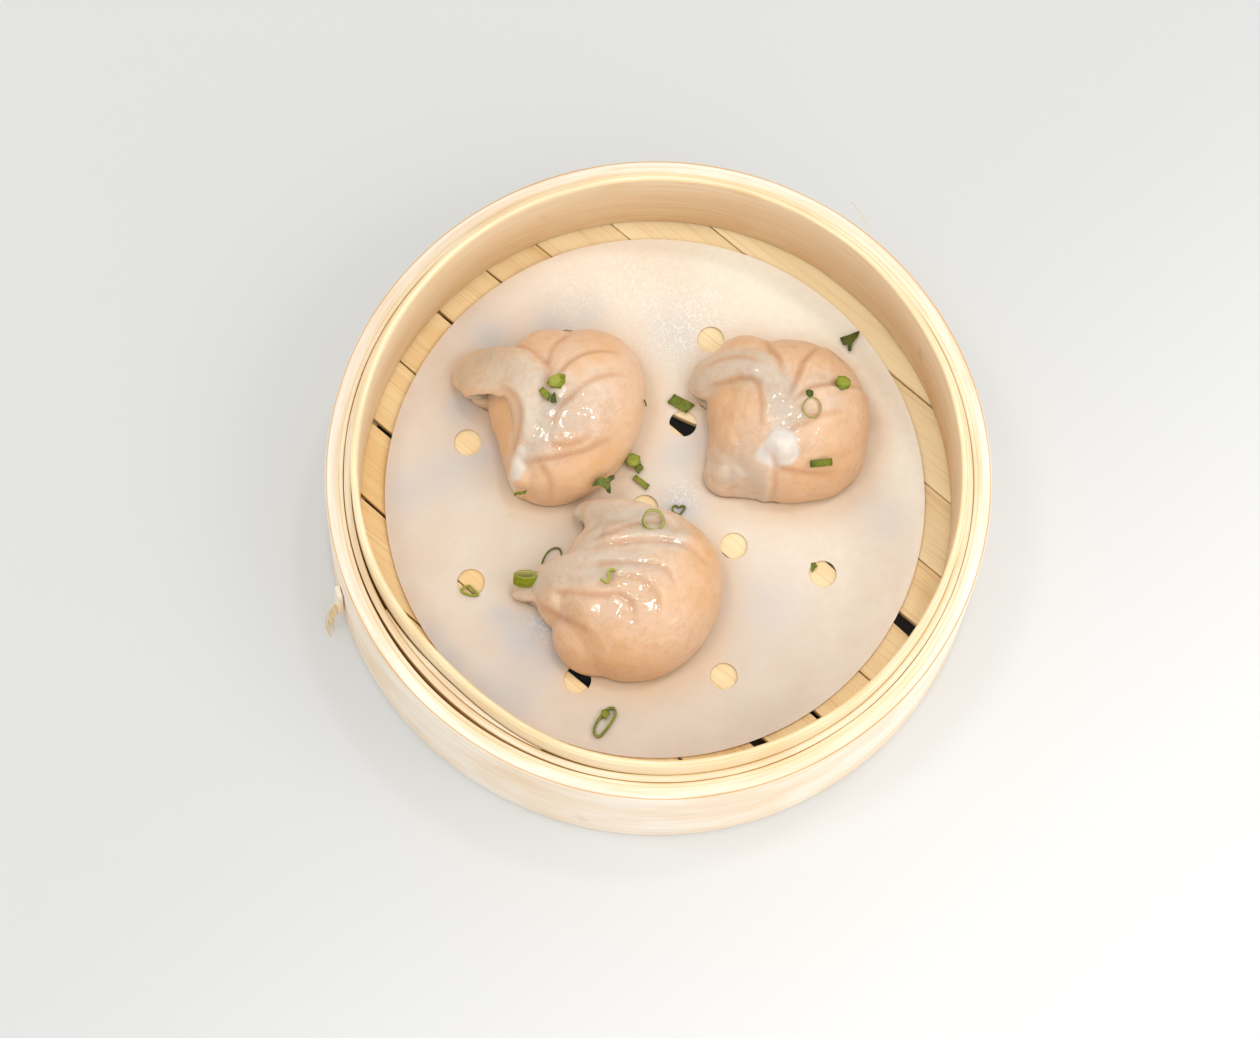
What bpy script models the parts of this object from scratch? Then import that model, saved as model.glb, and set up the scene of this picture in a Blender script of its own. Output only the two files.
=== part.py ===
"""Three shrimp dumplings on a perforated paper liner in a bamboo steamer basket.

Metres, +Z up. The origin is on the basket's axis, at the level it stands on.
Every length below is written in millimetres and turned into metres by MM.
"""

import math

import bmesh
import bpy
import numpy as np
from mathutils import Matrix, Vector

MM = 0.001
GAP = 0.3                  # air left between two pieces that touch in the real thing

# ---------------------------------------------------------------- basket
RING_STEPS = 72            # facets round a hoop
HOOP_RADIUS = 90.0         # outside of the basket
HOOP_TOP = 43.6            # height of the broad outer hoop
HOOP_WALL = 4.6
MIDDLE_WALL = 1.7          # thin hoop pressed between the outer and the inner one
MIDDLE_TOP = 43.2
INNER_BORE = 81.1          # free radius inside the basket
INNER_WALL = 2.0
INNER_TOP = 52.2           # the inner hoop stands proud, to take the next basket
HOOP_EDGE = 0.5            # worn corner of a hoop

DENT_ANGLE = -129.0        # where the inner hoop springs inwards, degrees
DENT_SPREAD = 22.0
INNER_DENT = 2.7
MIDDLE_DENT = 0.9
LAP_START = -147.0         # loose end of the inner strip, between the two hoops
LAP_END = -107.0
LAP_WALL = 1.4
LAP_TOP = 44.6

# ---------------------------------------------------------------- floor
SLAT_TOP = 18.2
SLAT_THICKNESS = 3.0
FLOOR_RADIUS = 84.9
SLAT_HEADING = -34.5       # direction the slats run in, degrees
# The seams between neighbouring slats, each a row of knots: how far along the slats,
# where the middle of the seam lies across the floor, and how far it gapes there.
SLAT_SEAMS = (
    ((-90.0, 71.6, 0.3), (90.0, 69.8, 0.7)),
    ((-90.0, 54.0, 0.3), (90.0, 51.6, 0.3)),
    ((-90.0, 35.6, 0.3), (90.0, 33.8, 0.3)),
    ((-90.0, 20.6, 0.3), (-40.0, 20.6, 0.9), (-13.0, 20.7, 2.6), (-5.0, 21.7, 5.0),
     (10.0, 21.3, 5.0), (48.0, 17.5, 2.5), (90.0, 17.0, 4.8)),
    ((-90.0, 3.1, 1.0), (90.0, -1.6, 0.4)),
    ((-90.0, -14.8, 0.4), (90.0, -18.6, 1.6)),
    ((-90.0, -32.8, 1.0), (90.0, -34.4, 4.0)),
    ((-90.0, -50.4, 1.4), (-24.0, -52.6, 0.3), (8.0, -52.2, 0.5), (13.0, -50.9, 3.2),
     (21.0, -50.9, 3.2), (38.0, -51.4, 0.7), (90.0, -52.0, 0.9)),
    ((-90.0, -68.4, 0.5), (90.0, -69.4, 0.5)),
)
SLAT_END_STEPS = 4         # facets along the curved end of a slat
BAR_PLACES = (-44.0, 2.0, 46.0)
BAR_WIDTH = 9.0
BAR_THICKNESS = 5.0
LEDGE_WALL = 5.0           # the low hoop that carries the slats
LEDGE_BASE = 9.0           # clear of the rim of the basket below when they are stacked

# ---------------------------------------------------------------- liner
LINER_RADIUS = 74.2
LINER_CENTRE = (-0.4, 1.5)
LINER_THICKNESS = 0.4
LINER_STEPS = 64
HOLE_CENTRE = (-2.9, -2.6)
HOLE_RADIUS = 3.8
HOLE_STEPS = 14
HOLE_RINGS = ((1, 0.0, 0.0), (4, 26.6, 72.0), (8, 52.1, 29.8))

# ---------------------------------------------------------------- lacing
LACING_ANGLE = -156.5
LACING_WIDTH = 4.0
LACING_THICKNESS = 1.3
LACING_BOTTOM = 6.0
LACING_TOP = 25.0

# ---------------------------------------------------------------- dumplings
SKIN_VOXEL = 1.2
SKIN_SMOOTH = 3
DUMPLING_FACES = 1550
# Heights are above the seat. A lobe is x, y, z, three radii and its yaw. A fold is a
# route of x, y, z, half width, half height and lean. A lip is the edge of an upper
# layer of dough: how high it stands at its left hand, how deep the skin sinks at its
# foot, how far the step takes to fade, and its route of x, y.
DUMPLINGS = {
    "dumpling_1": {
        "lobes": (
            (-24.5, 18.4, 8.5, 19.2, 26.0, 13.8, -5.0),
            (-37.5, 15.0, 7.0, 10.8, 16.0, 10.0, 14.0),
            (-33.0, 31.5, 8.0, 12.0, 12.6, 10.5, 0.0),
            (-28.6, 5.4, 7.5, 13.2, 12.0, 10.5, 4.0),
            (-38.0, 0.8, 11.5, 3.8, 5.4, 4.6, 20.0),
        ),
        "folds": (
            ((-57.4, 25.4, 5.6, 2.6, 1.8, 25.0), (-54.8, 26.8, 8.2, 6.4, 2.4, 22.0),
             (-49.8, 27.6, 12.2, 7.4, 2.8, 18.0), (-44.0, 27.2, 15.8, 7.8, 3.0, 8.0),
             (-39.4, 24.6, 17.8, 7.4, 3.2, -2.0), (-37.0, 18.0, 18.2, 5.4, 3.4, -10.0),
             (-36.6, 10.0, 16.8, 4.4, 3.4, -14.0), (-38.0, 3.0, 12.8, 3.4, 3.0, -10.0)),
        ),
        "lips": (
            (1.3, 0.5, 5.0, ((-40.8, -1.0), (-39.6, 4.0), (-38.5, 11.3), (-39.4, 17.5),
                             (-42.5, 21.1), (-47.0, 22.6)), -1),
            (1.2, 0.4, 6.0, ((-47.0, 35.0), (-43.0, 35.2), (-39.0, 33.8), (-35.8, 31.6),
                             (-32.9, 28.3), (-33.3, 23.0), (-34.2, 15.0)), -1),
            (2.2, 1.1, 9.0, ((-32.5, 21.0), (-28.2, 28.1), (-24.3, 32.0), (-20.1, 34.2),
                             (-12.0, 36.0)), -1),
            (1.3, 0.6, 7.0, ((-33.0, 25.0), (-32.4, 33.0), (-30.0, 37.5), (-25.0, 42.0)), -1),
            (1.0, 0.4, 6.0, ((-9.0, 29.5), (-15.0, 27.8), (-20.3, 25.2), (-24.8, 20.7),
                             (-28.6, 15.7), (-30.0, 8.0)), 1),
            (1.5, 0.6, 7.0, ((-38.5, 2.0), (-32.0, 3.2), (-25.9, 4.6), (-19.0, 7.5),
                             (-10.0, 15.0)), 1),
            (1.0, 0.5, 4.0, ((-31.0, 7.8), (-27.5, 7.2), (-23.5, 8.2), (-18.0, 12.5)), 1),
            (0.6, 0.2, 5.0, ((-33.5, 3.5), (-29.0, -1.5), (-28.5, -7.0)), 1),
        ),
    },
    "dumpling_2": {
        "lobes": (
            (34.8, 24.0, 8.5, 21.6, 22.6, 13.8, 0.0),
            (23.5, 19.5, 7.0, 11.8, 14.5, 11.0, 0.0),
            (21.5, 37.2, 8.0, 10.5, 9.6, 9.8, 0.0),
            (41.0, 18.0, 7.5, 15.0, 15.0, 11.0, 0.0),
            (32.6, 14.6, 16.6, 6.2, 5.8, 5.6, 20.0),
        ),
        "folds": (
            ((6.9, 31.0, 5.6, 3.4, 1.9, 15.0), (9.8, 32.6, 8.6, 6.2, 2.7, 15.0),
             (15.0, 35.4, 13.0, 5.4, 2.8, 12.0), (21.5, 35.9, 16.8, 5.0, 3.0, 5.0),
             (27.6, 33.4, 18.6, 4.8, 3.2, -2.0), (31.0, 26.0, 19.2, 4.8, 3.2, -8.0),
             (32.4, 18.0, 18.4, 4.6, 3.0, -10.0), (31.0, 11.0, 15.2, 4.6, 2.6, -10.0)),
            ((12.6, 4.8, 3.6, 2.8, 1.4, 35.0), (18.0, 5.9, 7.0, 4.8, 1.5, 40.0),
             (24.5, 6.4, 9.5, 5.6, 1.6, 42.0), (30.6, 6.9, 11.0, 5.6, 1.6, 42.0)),
        ),
        "lips": (
            (1.2, 0.4, 5.0, ((8.0, 28.0), (11.5, 30.4), (14.8, 31.2), (20.5, 32.0),
                             (24.4, 30.4), (25.8, 26.0), (26.6, 18.3), (25.0, 10.0)), 1),
            (1.7, 0.7, 6.0, ((31.2, -0.5), (31.2, 4.5), (30.8, 8.0), (29.0, 12.0)), 1),
            (1.2, 0.5, 7.0, ((29.0, 8.2), (33.5, 7.6), (37.9, 7.3), (43.3, 7.7),
                             (52.0, 11.0)), 1),
            (2.4, 1.2, 9.0, ((33.0, 23.0), (38.3, 28.4), (44.6, 31.1), (49.5, 32.3),
                             (58.0, 33.4)), -1),
            (2.2, 1.1, 9.0, ((32.5, 24.0), (35.0, 31.0), (36.4, 36.5), (38.6, 40.5),
                             (43.5, 47.0)), -1),
            (0.8, 0.3, 6.0, ((33.0, 16.6), (37.0, 18.4), (42.2, 21.6), (50.0, 25.0)), -1),
            (1.1, 0.5, 5.0, ((25.0, 47.0), (27.0, 42.6), (30.0, 37.5), (31.5, 31.0)), 1),
            (0.7, 0.3, 4.0, ((8.0, 34.2), (14.0, 36.4), (19.5, 36.8), (26.5, 34.6)), -1),
        ),
    },
    "dumpling_3": {
        "lobes": (
            (-3.0, -29.0, 8.5, 21.0, 25.6, 13.8, -25.0),
            (5.0, -18.0, 8.0, 13.5, 11.0, 10.5, -10.0),
            (-14.4, -41.4, 7.0, 11.6, 11.2, 8.5, -30.0),
            (-14.0, -22.0, 8.5, 10.0, 12.0, 9.5, -20.0),
        ),
        "folds": (
            ((-19.6, -8.0, 5.4, 2.2, 1.3, 0.0), (-16.0, -8.4, 9.6, 4.4, 1.6, 0.0),
             (-10.0, -9.4, 14.0, 6.0, 1.9, 0.0), (-2.0, -11.8, 16.2, 6.2, 2.2, 0.0),
             (6.0, -15.0, 16.0, 5.6, 2.4, 0.0)),
            ((-35.8, -31.2, 5.0, 2.0, 1.3, 10.0), (-31.5, -28.8, 8.6, 4.6, 1.6, 12.0),
             (-25.5, -26.2, 13.0, 6.2, 2.0, 8.0), (-17.0, -24.5, 17.0, 6.4, 2.4, 4.0),
             (-8.0, -25.0, 18.6, 5.4, 2.6, 0.0)),
            ((-19.6, -9.0, 9.0, 3.0, 1.6, 0.0), (-17.6, -15.0, 12.6, 4.2, 2.2, 0.0),
             (-20.5, -21.5, 12.6, 4.2, 2.2, 0.0)),
        ),
        "lips": (
            (1.1, 0.5, 5.0, ((-19.0, -18.0), (-11.1, -15.7), (-6.0, -13.2), (1.0, -11.0),
                             (11.0, -12.0)), 1),
            (1.9, 1.0, 6.0, ((-19.0, -21.0), (-11.9, -19.4), (-3.4, -17.6), (5.2, -16.8),
                             (12.0, -18.2), (20.0, -23.5)), 1),
            (1.2, 0.6, 6.0, ((-22.0, -26.0), (-13.5, -24.9), (-3.9, -24.2), (2.1, -24.2),
                             (6.4, -27.0), (10.5, -36.0)), 1),
            (1.0, 0.5, 5.0, ((-14.0, -29.0), (-5.7, -28.0), (-0.1, -29.8), (3.5, -34.0),
                             (4.0, -43.0)), 1),
            (1.2, 0.6, 5.0, ((-28.0, -31.0), (-18.0, -33.2), (-12.0, -33.8), (-7.3, -33.4),
                             (-3.0, -36.6), (-2.2, -44.0)), 1),
            (1.2, 0.6, 5.0, ((-31.0, -34.0), (-25.0, -37.2), (-20.5, -39.8), (-12.0, -45.0)),
             1),
        ),
    },
}
LIP_FACETS = 16            # straight pieces a lip's route is measured along
LIP_EDGE = 0.35            # how abruptly a lip steps up
LIP_FOOT = 0.9             # half width of the valley at its foot

BASE_OF_SLATS = SLAT_TOP - SLAT_THICKNESS
UNDER_SLATS = BASE_OF_SLATS - GAP    # top of the ledge hoop and of the cross bars
BASE_OF_LINER = SLAT_TOP + GAP
OUTER_BORE = HOOP_RADIUS - HOOP_WALL
LEDGE_BORE = OUTER_BORE - GAP - LEDGE_WALL
SEAT = BASE_OF_LINER + LINER_THICKNESS + GAP    # the level the dumplings sit on


def clear_scene():
    for thing in list(bpy.data.objects):
        bpy.data.objects.remove(thing, do_unlink=True)


def material(name, colour, roughness):
    made = bpy.data.materials.new(name)
    made.use_nodes = True
    shader = made.node_tree.nodes["Principled BSDF"]
    shader.inputs["Base Color"].default_value = (*colour, 1.0)
    shader.inputs["Roughness"].default_value = roughness
    shader.inputs["Metallic"].default_value = 0.0
    return made


def publish(name, shape, finish, smooth_angle=None):
    """Turn a bmesh in millimetres into a named object in metres."""
    bmesh.ops.scale(shape, vec=(MM, MM, MM), verts=shape.verts)
    bmesh.ops.recalc_face_normals(shape, faces=shape.faces)
    mesh = bpy.data.meshes.new(name)
    shape.to_mesh(mesh)
    shape.free()
    mesh.materials.append(finish)
    if smooth_angle is not None:
        mesh.shade_smooth()
        mesh.set_sharp_from_angle(angle=math.radians(smooth_angle))
    thing = bpy.data.objects.new(name, mesh)
    bpy.context.scene.collection.objects.link(thing)
    return thing


# ---------------------------------------------------------------- hoops
def dent(angle, depth):
    """How far a hoop is pushed inwards at an angle in degrees."""
    away = (angle - DENT_ANGLE + 180.0) % 360.0 - 180.0
    return depth * math.exp(-(away / DENT_SPREAD) ** 2)


def round_hoop(name, bore, wall, base, top, depth, finish, edge=HOOP_EDGE):
    """A closed hoop of a rectangular section with worn corners, pushed in at the dent."""
    if edge > 0.0:
        section = (
            (0.0, base + edge), (edge, base), (wall - edge, base), (wall, base + edge),
            (wall, top - edge), (wall - edge, top), (edge, top), (0.0, top - edge),
        )
    else:
        section = ((0.0, base), (wall, base), (wall, top), (0.0, top))
    shape = bmesh.new()
    loops = []
    for step in range(RING_STEPS):
        angle = 360.0 * step / RING_STEPS
        radius = bore - dent(angle, depth)
        direction = Vector((math.cos(math.radians(angle)), math.sin(math.radians(angle)), 0.0))
        loops.append([shape.verts.new(direction * (radius + out) + Vector((0, 0, z)))
                      for out, z in section])
    for step in range(RING_STEPS):
        here = loops[step]
        after = loops[(step + 1) % RING_STEPS]
        for corner in range(len(section)):
            following = (corner + 1) % len(section)
            shape.faces.new((here[corner], here[following], after[following], after[corner]))
    return publish(name, shape, finish, smooth_angle=40)


def lap_strip(name, finish):
    """The loose end of the inner strip: thin at both ends, full in the middle."""
    steps = 12
    base = SLAT_TOP + GAP
    shape = bmesh.new()
    loops = []
    for step in range(steps + 1):
        share = step / steps
        angle = LAP_START + (LAP_END - LAP_START) * share
        # the free space between the inner hoop's outside and the middle hoop's inside
        inside = INNER_BORE - dent(angle, INNER_DENT) + INNER_WALL
        outside = INNER_BORE + INNER_WALL + GAP - dent(angle, MIDDLE_DENT)
        space = outside - inside
        wall = min(LAP_WALL, space - 2.0 * GAP) * (1.0 - 0.3 * abs(2.0 * share - 1.0))
        near = inside + (space - wall) * (0.25 + 0.5 * (1.0 - share))
        drop = 1.5 * abs(2.0 * share - 1.0)
        direction = Vector((math.cos(math.radians(angle)), math.sin(math.radians(angle)), 0.0))
        loops.append([shape.verts.new(direction * (near + out) + Vector((0, 0, z)))
                      for out, z in ((0, base), (wall, base), (wall, LAP_TOP - drop),
                                     (0, LAP_TOP - drop))])
    for here, after in zip(loops, loops[1:]):
        for corner in range(4):
            following = (corner + 1) % 4
            shape.faces.new((here[corner], here[following], after[following], after[corner]))
    shape.faces.new(loops[0])
    shape.faces.new(reversed(loops[-1]))
    return publish(name, shape, finish)


def build_hoops(bamboo):
    round_hoop("outer_hoop", OUTER_BORE, HOOP_WALL, 0.0, HOOP_TOP, 0.0, bamboo)
    round_hoop("middle_hoop", INNER_BORE + INNER_WALL + GAP, MIDDLE_WALL, BASE_OF_LINER,
               MIDDLE_TOP, MIDDLE_DENT, bamboo, edge=0.0)
    round_hoop("inner_hoop", INNER_BORE, INNER_WALL, BASE_OF_LINER, INNER_TOP,
               INNER_DENT, bamboo)
    round_hoop("ledge_hoop", LEDGE_BORE, LEDGE_WALL, LEDGE_BASE, UNDER_SLATS, 0.0, bamboo,
               edge=0.0)
    lap_strip("lap_strip", bamboo)


# ---------------------------------------------------------------- floor
def on_circle(inside, outside):
    """Where a line that starts inside the floor's circle and heads outwards leaves it."""
    start = Vector(inside)
    course = (Vector(outside) - start).normalized()
    forward = start.dot(course)
    reach = math.sqrt(forward ** 2 - start.length_squared + FLOOR_RADIUS ** 2) - forward
    return tuple(start + course * reach)


def slat_edge(seam, side):
    """The edge of a slat along a seam, left to right: side 1 is the seam's upper lip."""
    knots = [(along, middle + side * max(GAP, gape) / 2.0) for along, middle, gape in seam]
    inner = knots[1:-1] or [tuple((Vector(knots[0]) + Vector(knots[-1])) / 2.0)]
    edge = [on_circle(inner[0], knots[0]), *inner, on_circle(inner[-1], knots[-1])]
    return edge if len(knots) > 2 else [edge[0], edge[-1]]


def arc_between(start, end, steps):
    """Points on the floor's circle strictly between two points of it."""
    first = math.atan2(start[1], start[0])
    turn = (math.atan2(end[1], end[0]) - first + math.pi) % (2.0 * math.pi) - math.pi
    angles = [first + turn * step / steps for step in range(1, steps)]
    return [(FLOOR_RADIUS * math.cos(a), FLOOR_RADIUS * math.sin(a)) for a in angles]


def board(name, outline, base, top, heading, finish):
    """A flat board from its outline, turned to its heading."""
    turn = Matrix.Rotation(math.radians(heading), 4, "Z")
    shape = bmesh.new()
    floor = [shape.verts.new(turn @ Vector((x, y, base))) for x, y in outline]
    face = shape.faces.new(floor)
    extruded = bmesh.ops.extrude_face_region(shape, geom=[face])
    raised = [item for item in extruded["geom"] if isinstance(item, bmesh.types.BMVert)]
    bmesh.ops.translate(shape, vec=(0, 0, top - base), verts=raised)
    return publish(name, shape, finish)


def build_floor(bamboo):
    for number in range(len(SLAT_SEAMS) + 1):
        if number == 0:
            upper = slat_edge(SLAT_SEAMS[0], 1)
            outline = upper + arc_between(upper[-1], upper[0], 10)
        elif number == len(SLAT_SEAMS):
            lower = slat_edge(SLAT_SEAMS[-1], -1)[::-1]
            outline = lower + arc_between(lower[-1], lower[0], 10)
        else:
            lower = slat_edge(SLAT_SEAMS[number], 1)
            upper = slat_edge(SLAT_SEAMS[number - 1], -1)[::-1]
            outline = (lower + arc_between(lower[-1], upper[0], SLAT_END_STEPS)
                       + upper + arc_between(upper[-1], lower[0], SLAT_END_STEPS))
        board(f"slat_{number + 1:02d}", outline, BASE_OF_SLATS, SLAT_TOP, SLAT_HEADING, bamboo)
    for number, place in enumerate(BAR_PLACES, start=1):
        half = BAR_WIDTH / 2.0
        reach = math.sqrt((LEDGE_BORE - GAP) ** 2 - (abs(place) + half) ** 2)
        outline = [(place - half, -reach), (place + half, -reach), (place + half, reach),
                   (place - half, reach)]
        board(f"cross_bar_{number}", outline, UNDER_SLATS - BAR_THICKNESS, UNDER_SLATS,
              SLAT_HEADING, bamboo)


# ---------------------------------------------------------------- liner
def build_liner(paper):
    """A paper disc with a ring of 8 holes round a ring of 4 and one in the middle."""
    shape = bmesh.new()
    loops = [[(LINER_CENTRE[0] + LINER_RADIUS * math.cos(2 * math.pi * step / LINER_STEPS),
               LINER_CENTRE[1] + LINER_RADIUS * math.sin(2 * math.pi * step / LINER_STEPS))
              for step in range(LINER_STEPS)]]
    for count, ring_radius, first_angle in HOLE_RINGS:
        for number in range(count):
            angle = math.radians(first_angle + 360.0 * number / count)
            x = HOLE_CENTRE[0] + ring_radius * math.cos(angle)
            y = HOLE_CENTRE[1] + ring_radius * math.sin(angle)
            loops.append([(x + HOLE_RADIUS * math.cos(2 * math.pi * step / HOLE_STEPS),
                           y + HOLE_RADIUS * math.sin(2 * math.pi * step / HOLE_STEPS))
                          for step in range(HOLE_STEPS)])
    rims = []
    for loop in loops:
        verts = [shape.verts.new((x, y, BASE_OF_LINER)) for x, y in loop]
        rims += [shape.edges.new((verts[i - 1], verts[i])) for i in range(len(verts))]
    bmesh.ops.triangle_fill(shape, use_beauty=True, edges=rims)
    extruded = bmesh.ops.extrude_face_region(shape, geom=list(shape.faces))
    raised = [item for item in extruded["geom"] if isinstance(item, bmesh.types.BMVert)]
    bmesh.ops.translate(shape, vec=(0, 0, LINER_THICKNESS), verts=raised)
    return publish("liner", shape, paper)


def build_lacing(bamboo):
    """The end of the bamboo lacing that holds the hoops, standing off the wall."""
    angle = math.radians(LACING_ANGLE)
    out = Vector((math.cos(angle), math.sin(angle), 0.0))
    along = Vector((-math.sin(angle), math.cos(angle), 0.0))
    wall = HOOP_RADIUS + GAP
    shape = bmesh.new()
    rings = []
    for z, lift, width in ((LACING_BOTTOM, 0.9, 0.7), (LACING_BOTTOM + 5.0, 0.3, 1.0),
                           (LACING_TOP - 3.0, 0.0, 1.0), (LACING_TOP, 0.0, 0.8)):
        half = LACING_WIDTH * width / 2.0
        rings.append([shape.verts.new(out * (wall + lift + depth) + along * side * half
                                      + Vector((0, 0, z)))
                      for depth, side in ((0, -1), (0, 1), (LACING_THICKNESS, 1),
                                          (LACING_THICKNESS, -1))])
    for here, after in zip(rings, rings[1:]):
        for corner in range(4):
            following = (corner + 1) % 4
            shape.faces.new((here[corner], here[following], after[following], after[corner]))
    shape.faces.new(rings[0])
    shape.faces.new(reversed(rings[-1]))
    return publish("lacing_end", shape, bamboo)


# ---------------------------------------------------------------- dumplings
def add_lobe(shape, centre, radii, yaw, tilt=0.0):
    """One swelling of the dough: an ellipsoid, turned about Z and then tilted."""
    place = (Matrix.Translation(Vector(centre) + Vector((0, 0, SEAT)))
             @ Matrix.Rotation(math.radians(yaw), 4, "Z")
             @ Matrix.Rotation(math.radians(tilt), 4, "Y")
             @ Matrix.Diagonal((*radii, 1.0)))
    bmesh.ops.create_icosphere(shape, subdivisions=3, radius=1.0, matrix=place)


def spline_point(points, share):
    """A point on a Catmull-Rom curve through the given rows of numbers."""
    spans = len(points) - 1
    place = min(share * spans, spans - 1e-9)
    index = int(place)
    t = place - index
    rows = [points[max(0, min(spans, index + shift))] for shift in (-1, 0, 1, 2)]
    return [0.5 * (2 * b + (c - a) * t + (2 * a - 5 * b + 4 * c - d) * t * t
                   + (3 * b - a - 3 * c + d) * t ** 3)
            for a, b, c, d in zip(*rows)]


def add_fold(shape, route):
    """A pinched lip of dough along a route of (x, y, z, half width, half height, lean)."""
    steps = 4 * (len(route) - 1)
    sides = 12
    rows = [spline_point(route, step / steps) for step in range(steps + 1)]
    loops = []
    for index, (x, y, z, half_width, half_height, lean) in enumerate(rows):
        before = rows[max(0, index - 1)]
        after = rows[min(steps, index + 1)]
        forward = (Vector(after[:3]) - Vector(before[:3])).normalized()
        across = forward.cross(Vector((0, 0, 1))).normalized()
        upward = across.cross(forward).normalized()
        turn = Matrix.Rotation(math.radians(lean), 3, forward)
        across = turn @ across
        upward = turn @ upward
        round_off = math.sqrt(max(0.02, 1.0 - abs(2.0 * index / steps - 1.0) ** 8))
        middle = Vector((x, y, z + SEAT))
        loops.append([shape.verts.new(
            middle
            + across * (half_width * round_off * math.cos(2 * math.pi * side / sides))
            + upward * (half_height * round_off * math.sin(2 * math.pi * side / sides)))
            for side in range(sides)])
    for here, following in zip(loops, loops[1:]):
        for side in range(sides):
            beyond = (side + 1) % sides
            shape.faces.new((here[side], here[beyond], following[beyond], following[side]))
    shape.faces.new(reversed(loops[0]))
    shape.faces.new(loops[-1])


def smooth_share(share):
    """0 below 0, 1 above 1, and an easy curve between."""
    share = np.clip(share, 0.0, 1.0)
    return share * share * (3.0 - 2.0 * share)


def lip_height(places, lip):
    """How far a lip lifts the skin at each x, y: a step up along its route."""
    height, foot, fade, route, hand = lip
    line = np.array([spline_point(route, step / LIP_FACETS)
                     for step in range(LIP_FACETS + 1)])
    starts = line[:-1]
    spans = line[1:] - starts
    away = places[:, None, :] - starts
    share = np.clip((away * spans).sum(2) / (spans ** 2).sum(1), 0.0, 1.0)
    gaps = away - share[:, :, None] * spans
    distance = np.hypot(gaps[:, :, 0], gaps[:, :, 1])
    nearest = distance.argmin(1)
    rows = np.arange(len(places))
    turned = (spans[nearest, 0] * gaps[rows, nearest, 1]
              - spans[nearest, 1] * gaps[rows, nearest, 0])
    aside = np.sign(turned) * distance[rows, nearest] * hand
    along = (nearest + share[rows, nearest]) / LIP_FACETS
    ends = smooth_share(along / 0.25) * smooth_share((1.0 - along) / 0.3)
    bell = np.exp(-(np.maximum(aside, 0.0) / fade) ** 2)
    step_up = height * bell / (1.0 + np.exp(-np.clip(aside / LIP_EDGE, -30.0, 30.0)))
    valley = foot * np.exp(-((aside + LIP_FOOT / 2.0) / LIP_FOOT) ** 2)
    return ends * (step_up - valley)


def build_dumpling(name, recipe, dough):
    shape = bmesh.new()
    for lobe in recipe["lobes"]:
        add_lobe(shape, lobe[:3], lobe[3:6], *lobe[6:])
    for route in recipe["folds"]:
        add_fold(shape, route)
    rough = publish(name + "_rough", shape, dough)
    remesh = rough.modifiers.new("one skin", "REMESH")
    remesh.mode = "VOXEL"
    remesh.voxel_size = SKIN_VOXEL * MM
    smooth = rough.modifiers.new("soft", "SMOOTH")
    smooth.factor = 0.5
    smooth.iterations = SKIN_SMOOTH
    bpy.context.view_layer.update()
    graph = bpy.context.evaluated_depsgraph_get()
    mesh = bpy.data.meshes.new_from_object(rough.evaluated_get(graph), depsgraph=graph)
    bpy.data.objects.remove(rough, do_unlink=True)
    places = np.array([(vertex.co.x, vertex.co.y) for vertex in mesh.vertices]) / MM
    above = np.array([vertex.co.z for vertex in mesh.vertices]) / MM - SEAT
    pull = sum(lip_height(places, lip) for lip in recipe["lips"])
    pull *= smooth_share((above - 2.0) / 9.0)
    normals = [vertex.normal.copy() for vertex in mesh.vertices]
    for vertex, normal, amount in zip(mesh.vertices, normals, pull):
        vertex.co += normal * float(amount) * MM
        vertex.co.z = max(vertex.co.z, SEAT * MM)
    mesh.name = name
    mesh.shade_smooth()
    thing = bpy.data.objects.new(name, mesh)
    bpy.context.scene.collection.objects.link(thing)
    fewer = thing.modifiers.new("fewer faces", "DECIMATE")
    fewer.ratio = min(1.0, DUMPLING_FACES / (2.0 * len(mesh.polygons)))
    return thing


def main():
    clear_scene()
    bamboo = material("bamboo", (0.83, 0.66, 0.42), 0.55)
    paper = material("waxed_paper", (0.80, 0.66, 0.54), 0.5)
    build_hoops(bamboo)
    build_floor(bamboo)
    build_liner(paper)
    build_lacing(bamboo)
    dough = material("dumpling_skin", (0.80, 0.58, 0.42), 0.35)
    for name, recipe in DUMPLINGS.items():
        build_dumpling(name, recipe, dough)


main()
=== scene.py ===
# %% [markdown]
# # Three shrimp dumplings in a bamboo steamer
# A steamer basket is four strips of split bamboo bent into hoops, a floor of slats, and
# a disc of waxed paper with holes for the steam. On it lie three translucent dumplings
# and some chopped spring onion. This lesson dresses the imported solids: each cell makes
# one piece or one finish. Every object is in metres, in the frame of the solids, so a
# new piece goes where its solid is, with no fitting.

# %% Load the solids
import math

import bpy
import numpy as np
from mathutils import Matrix, Vector, noise
from mathutils.bvhtree import BVHTree


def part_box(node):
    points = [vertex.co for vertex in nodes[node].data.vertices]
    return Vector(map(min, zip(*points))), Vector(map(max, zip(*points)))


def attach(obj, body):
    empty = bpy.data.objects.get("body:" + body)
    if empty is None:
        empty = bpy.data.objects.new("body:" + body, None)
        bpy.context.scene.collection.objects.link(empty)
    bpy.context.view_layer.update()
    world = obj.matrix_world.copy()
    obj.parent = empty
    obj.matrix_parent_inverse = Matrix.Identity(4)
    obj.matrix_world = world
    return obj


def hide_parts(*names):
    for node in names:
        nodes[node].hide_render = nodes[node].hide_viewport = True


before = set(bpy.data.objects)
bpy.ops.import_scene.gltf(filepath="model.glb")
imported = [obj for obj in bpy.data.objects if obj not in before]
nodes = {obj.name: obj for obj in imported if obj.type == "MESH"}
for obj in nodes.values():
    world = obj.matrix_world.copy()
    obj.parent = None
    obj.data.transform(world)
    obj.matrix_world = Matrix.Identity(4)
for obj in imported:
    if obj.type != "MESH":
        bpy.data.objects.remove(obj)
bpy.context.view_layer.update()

MM = 0.001
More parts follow.
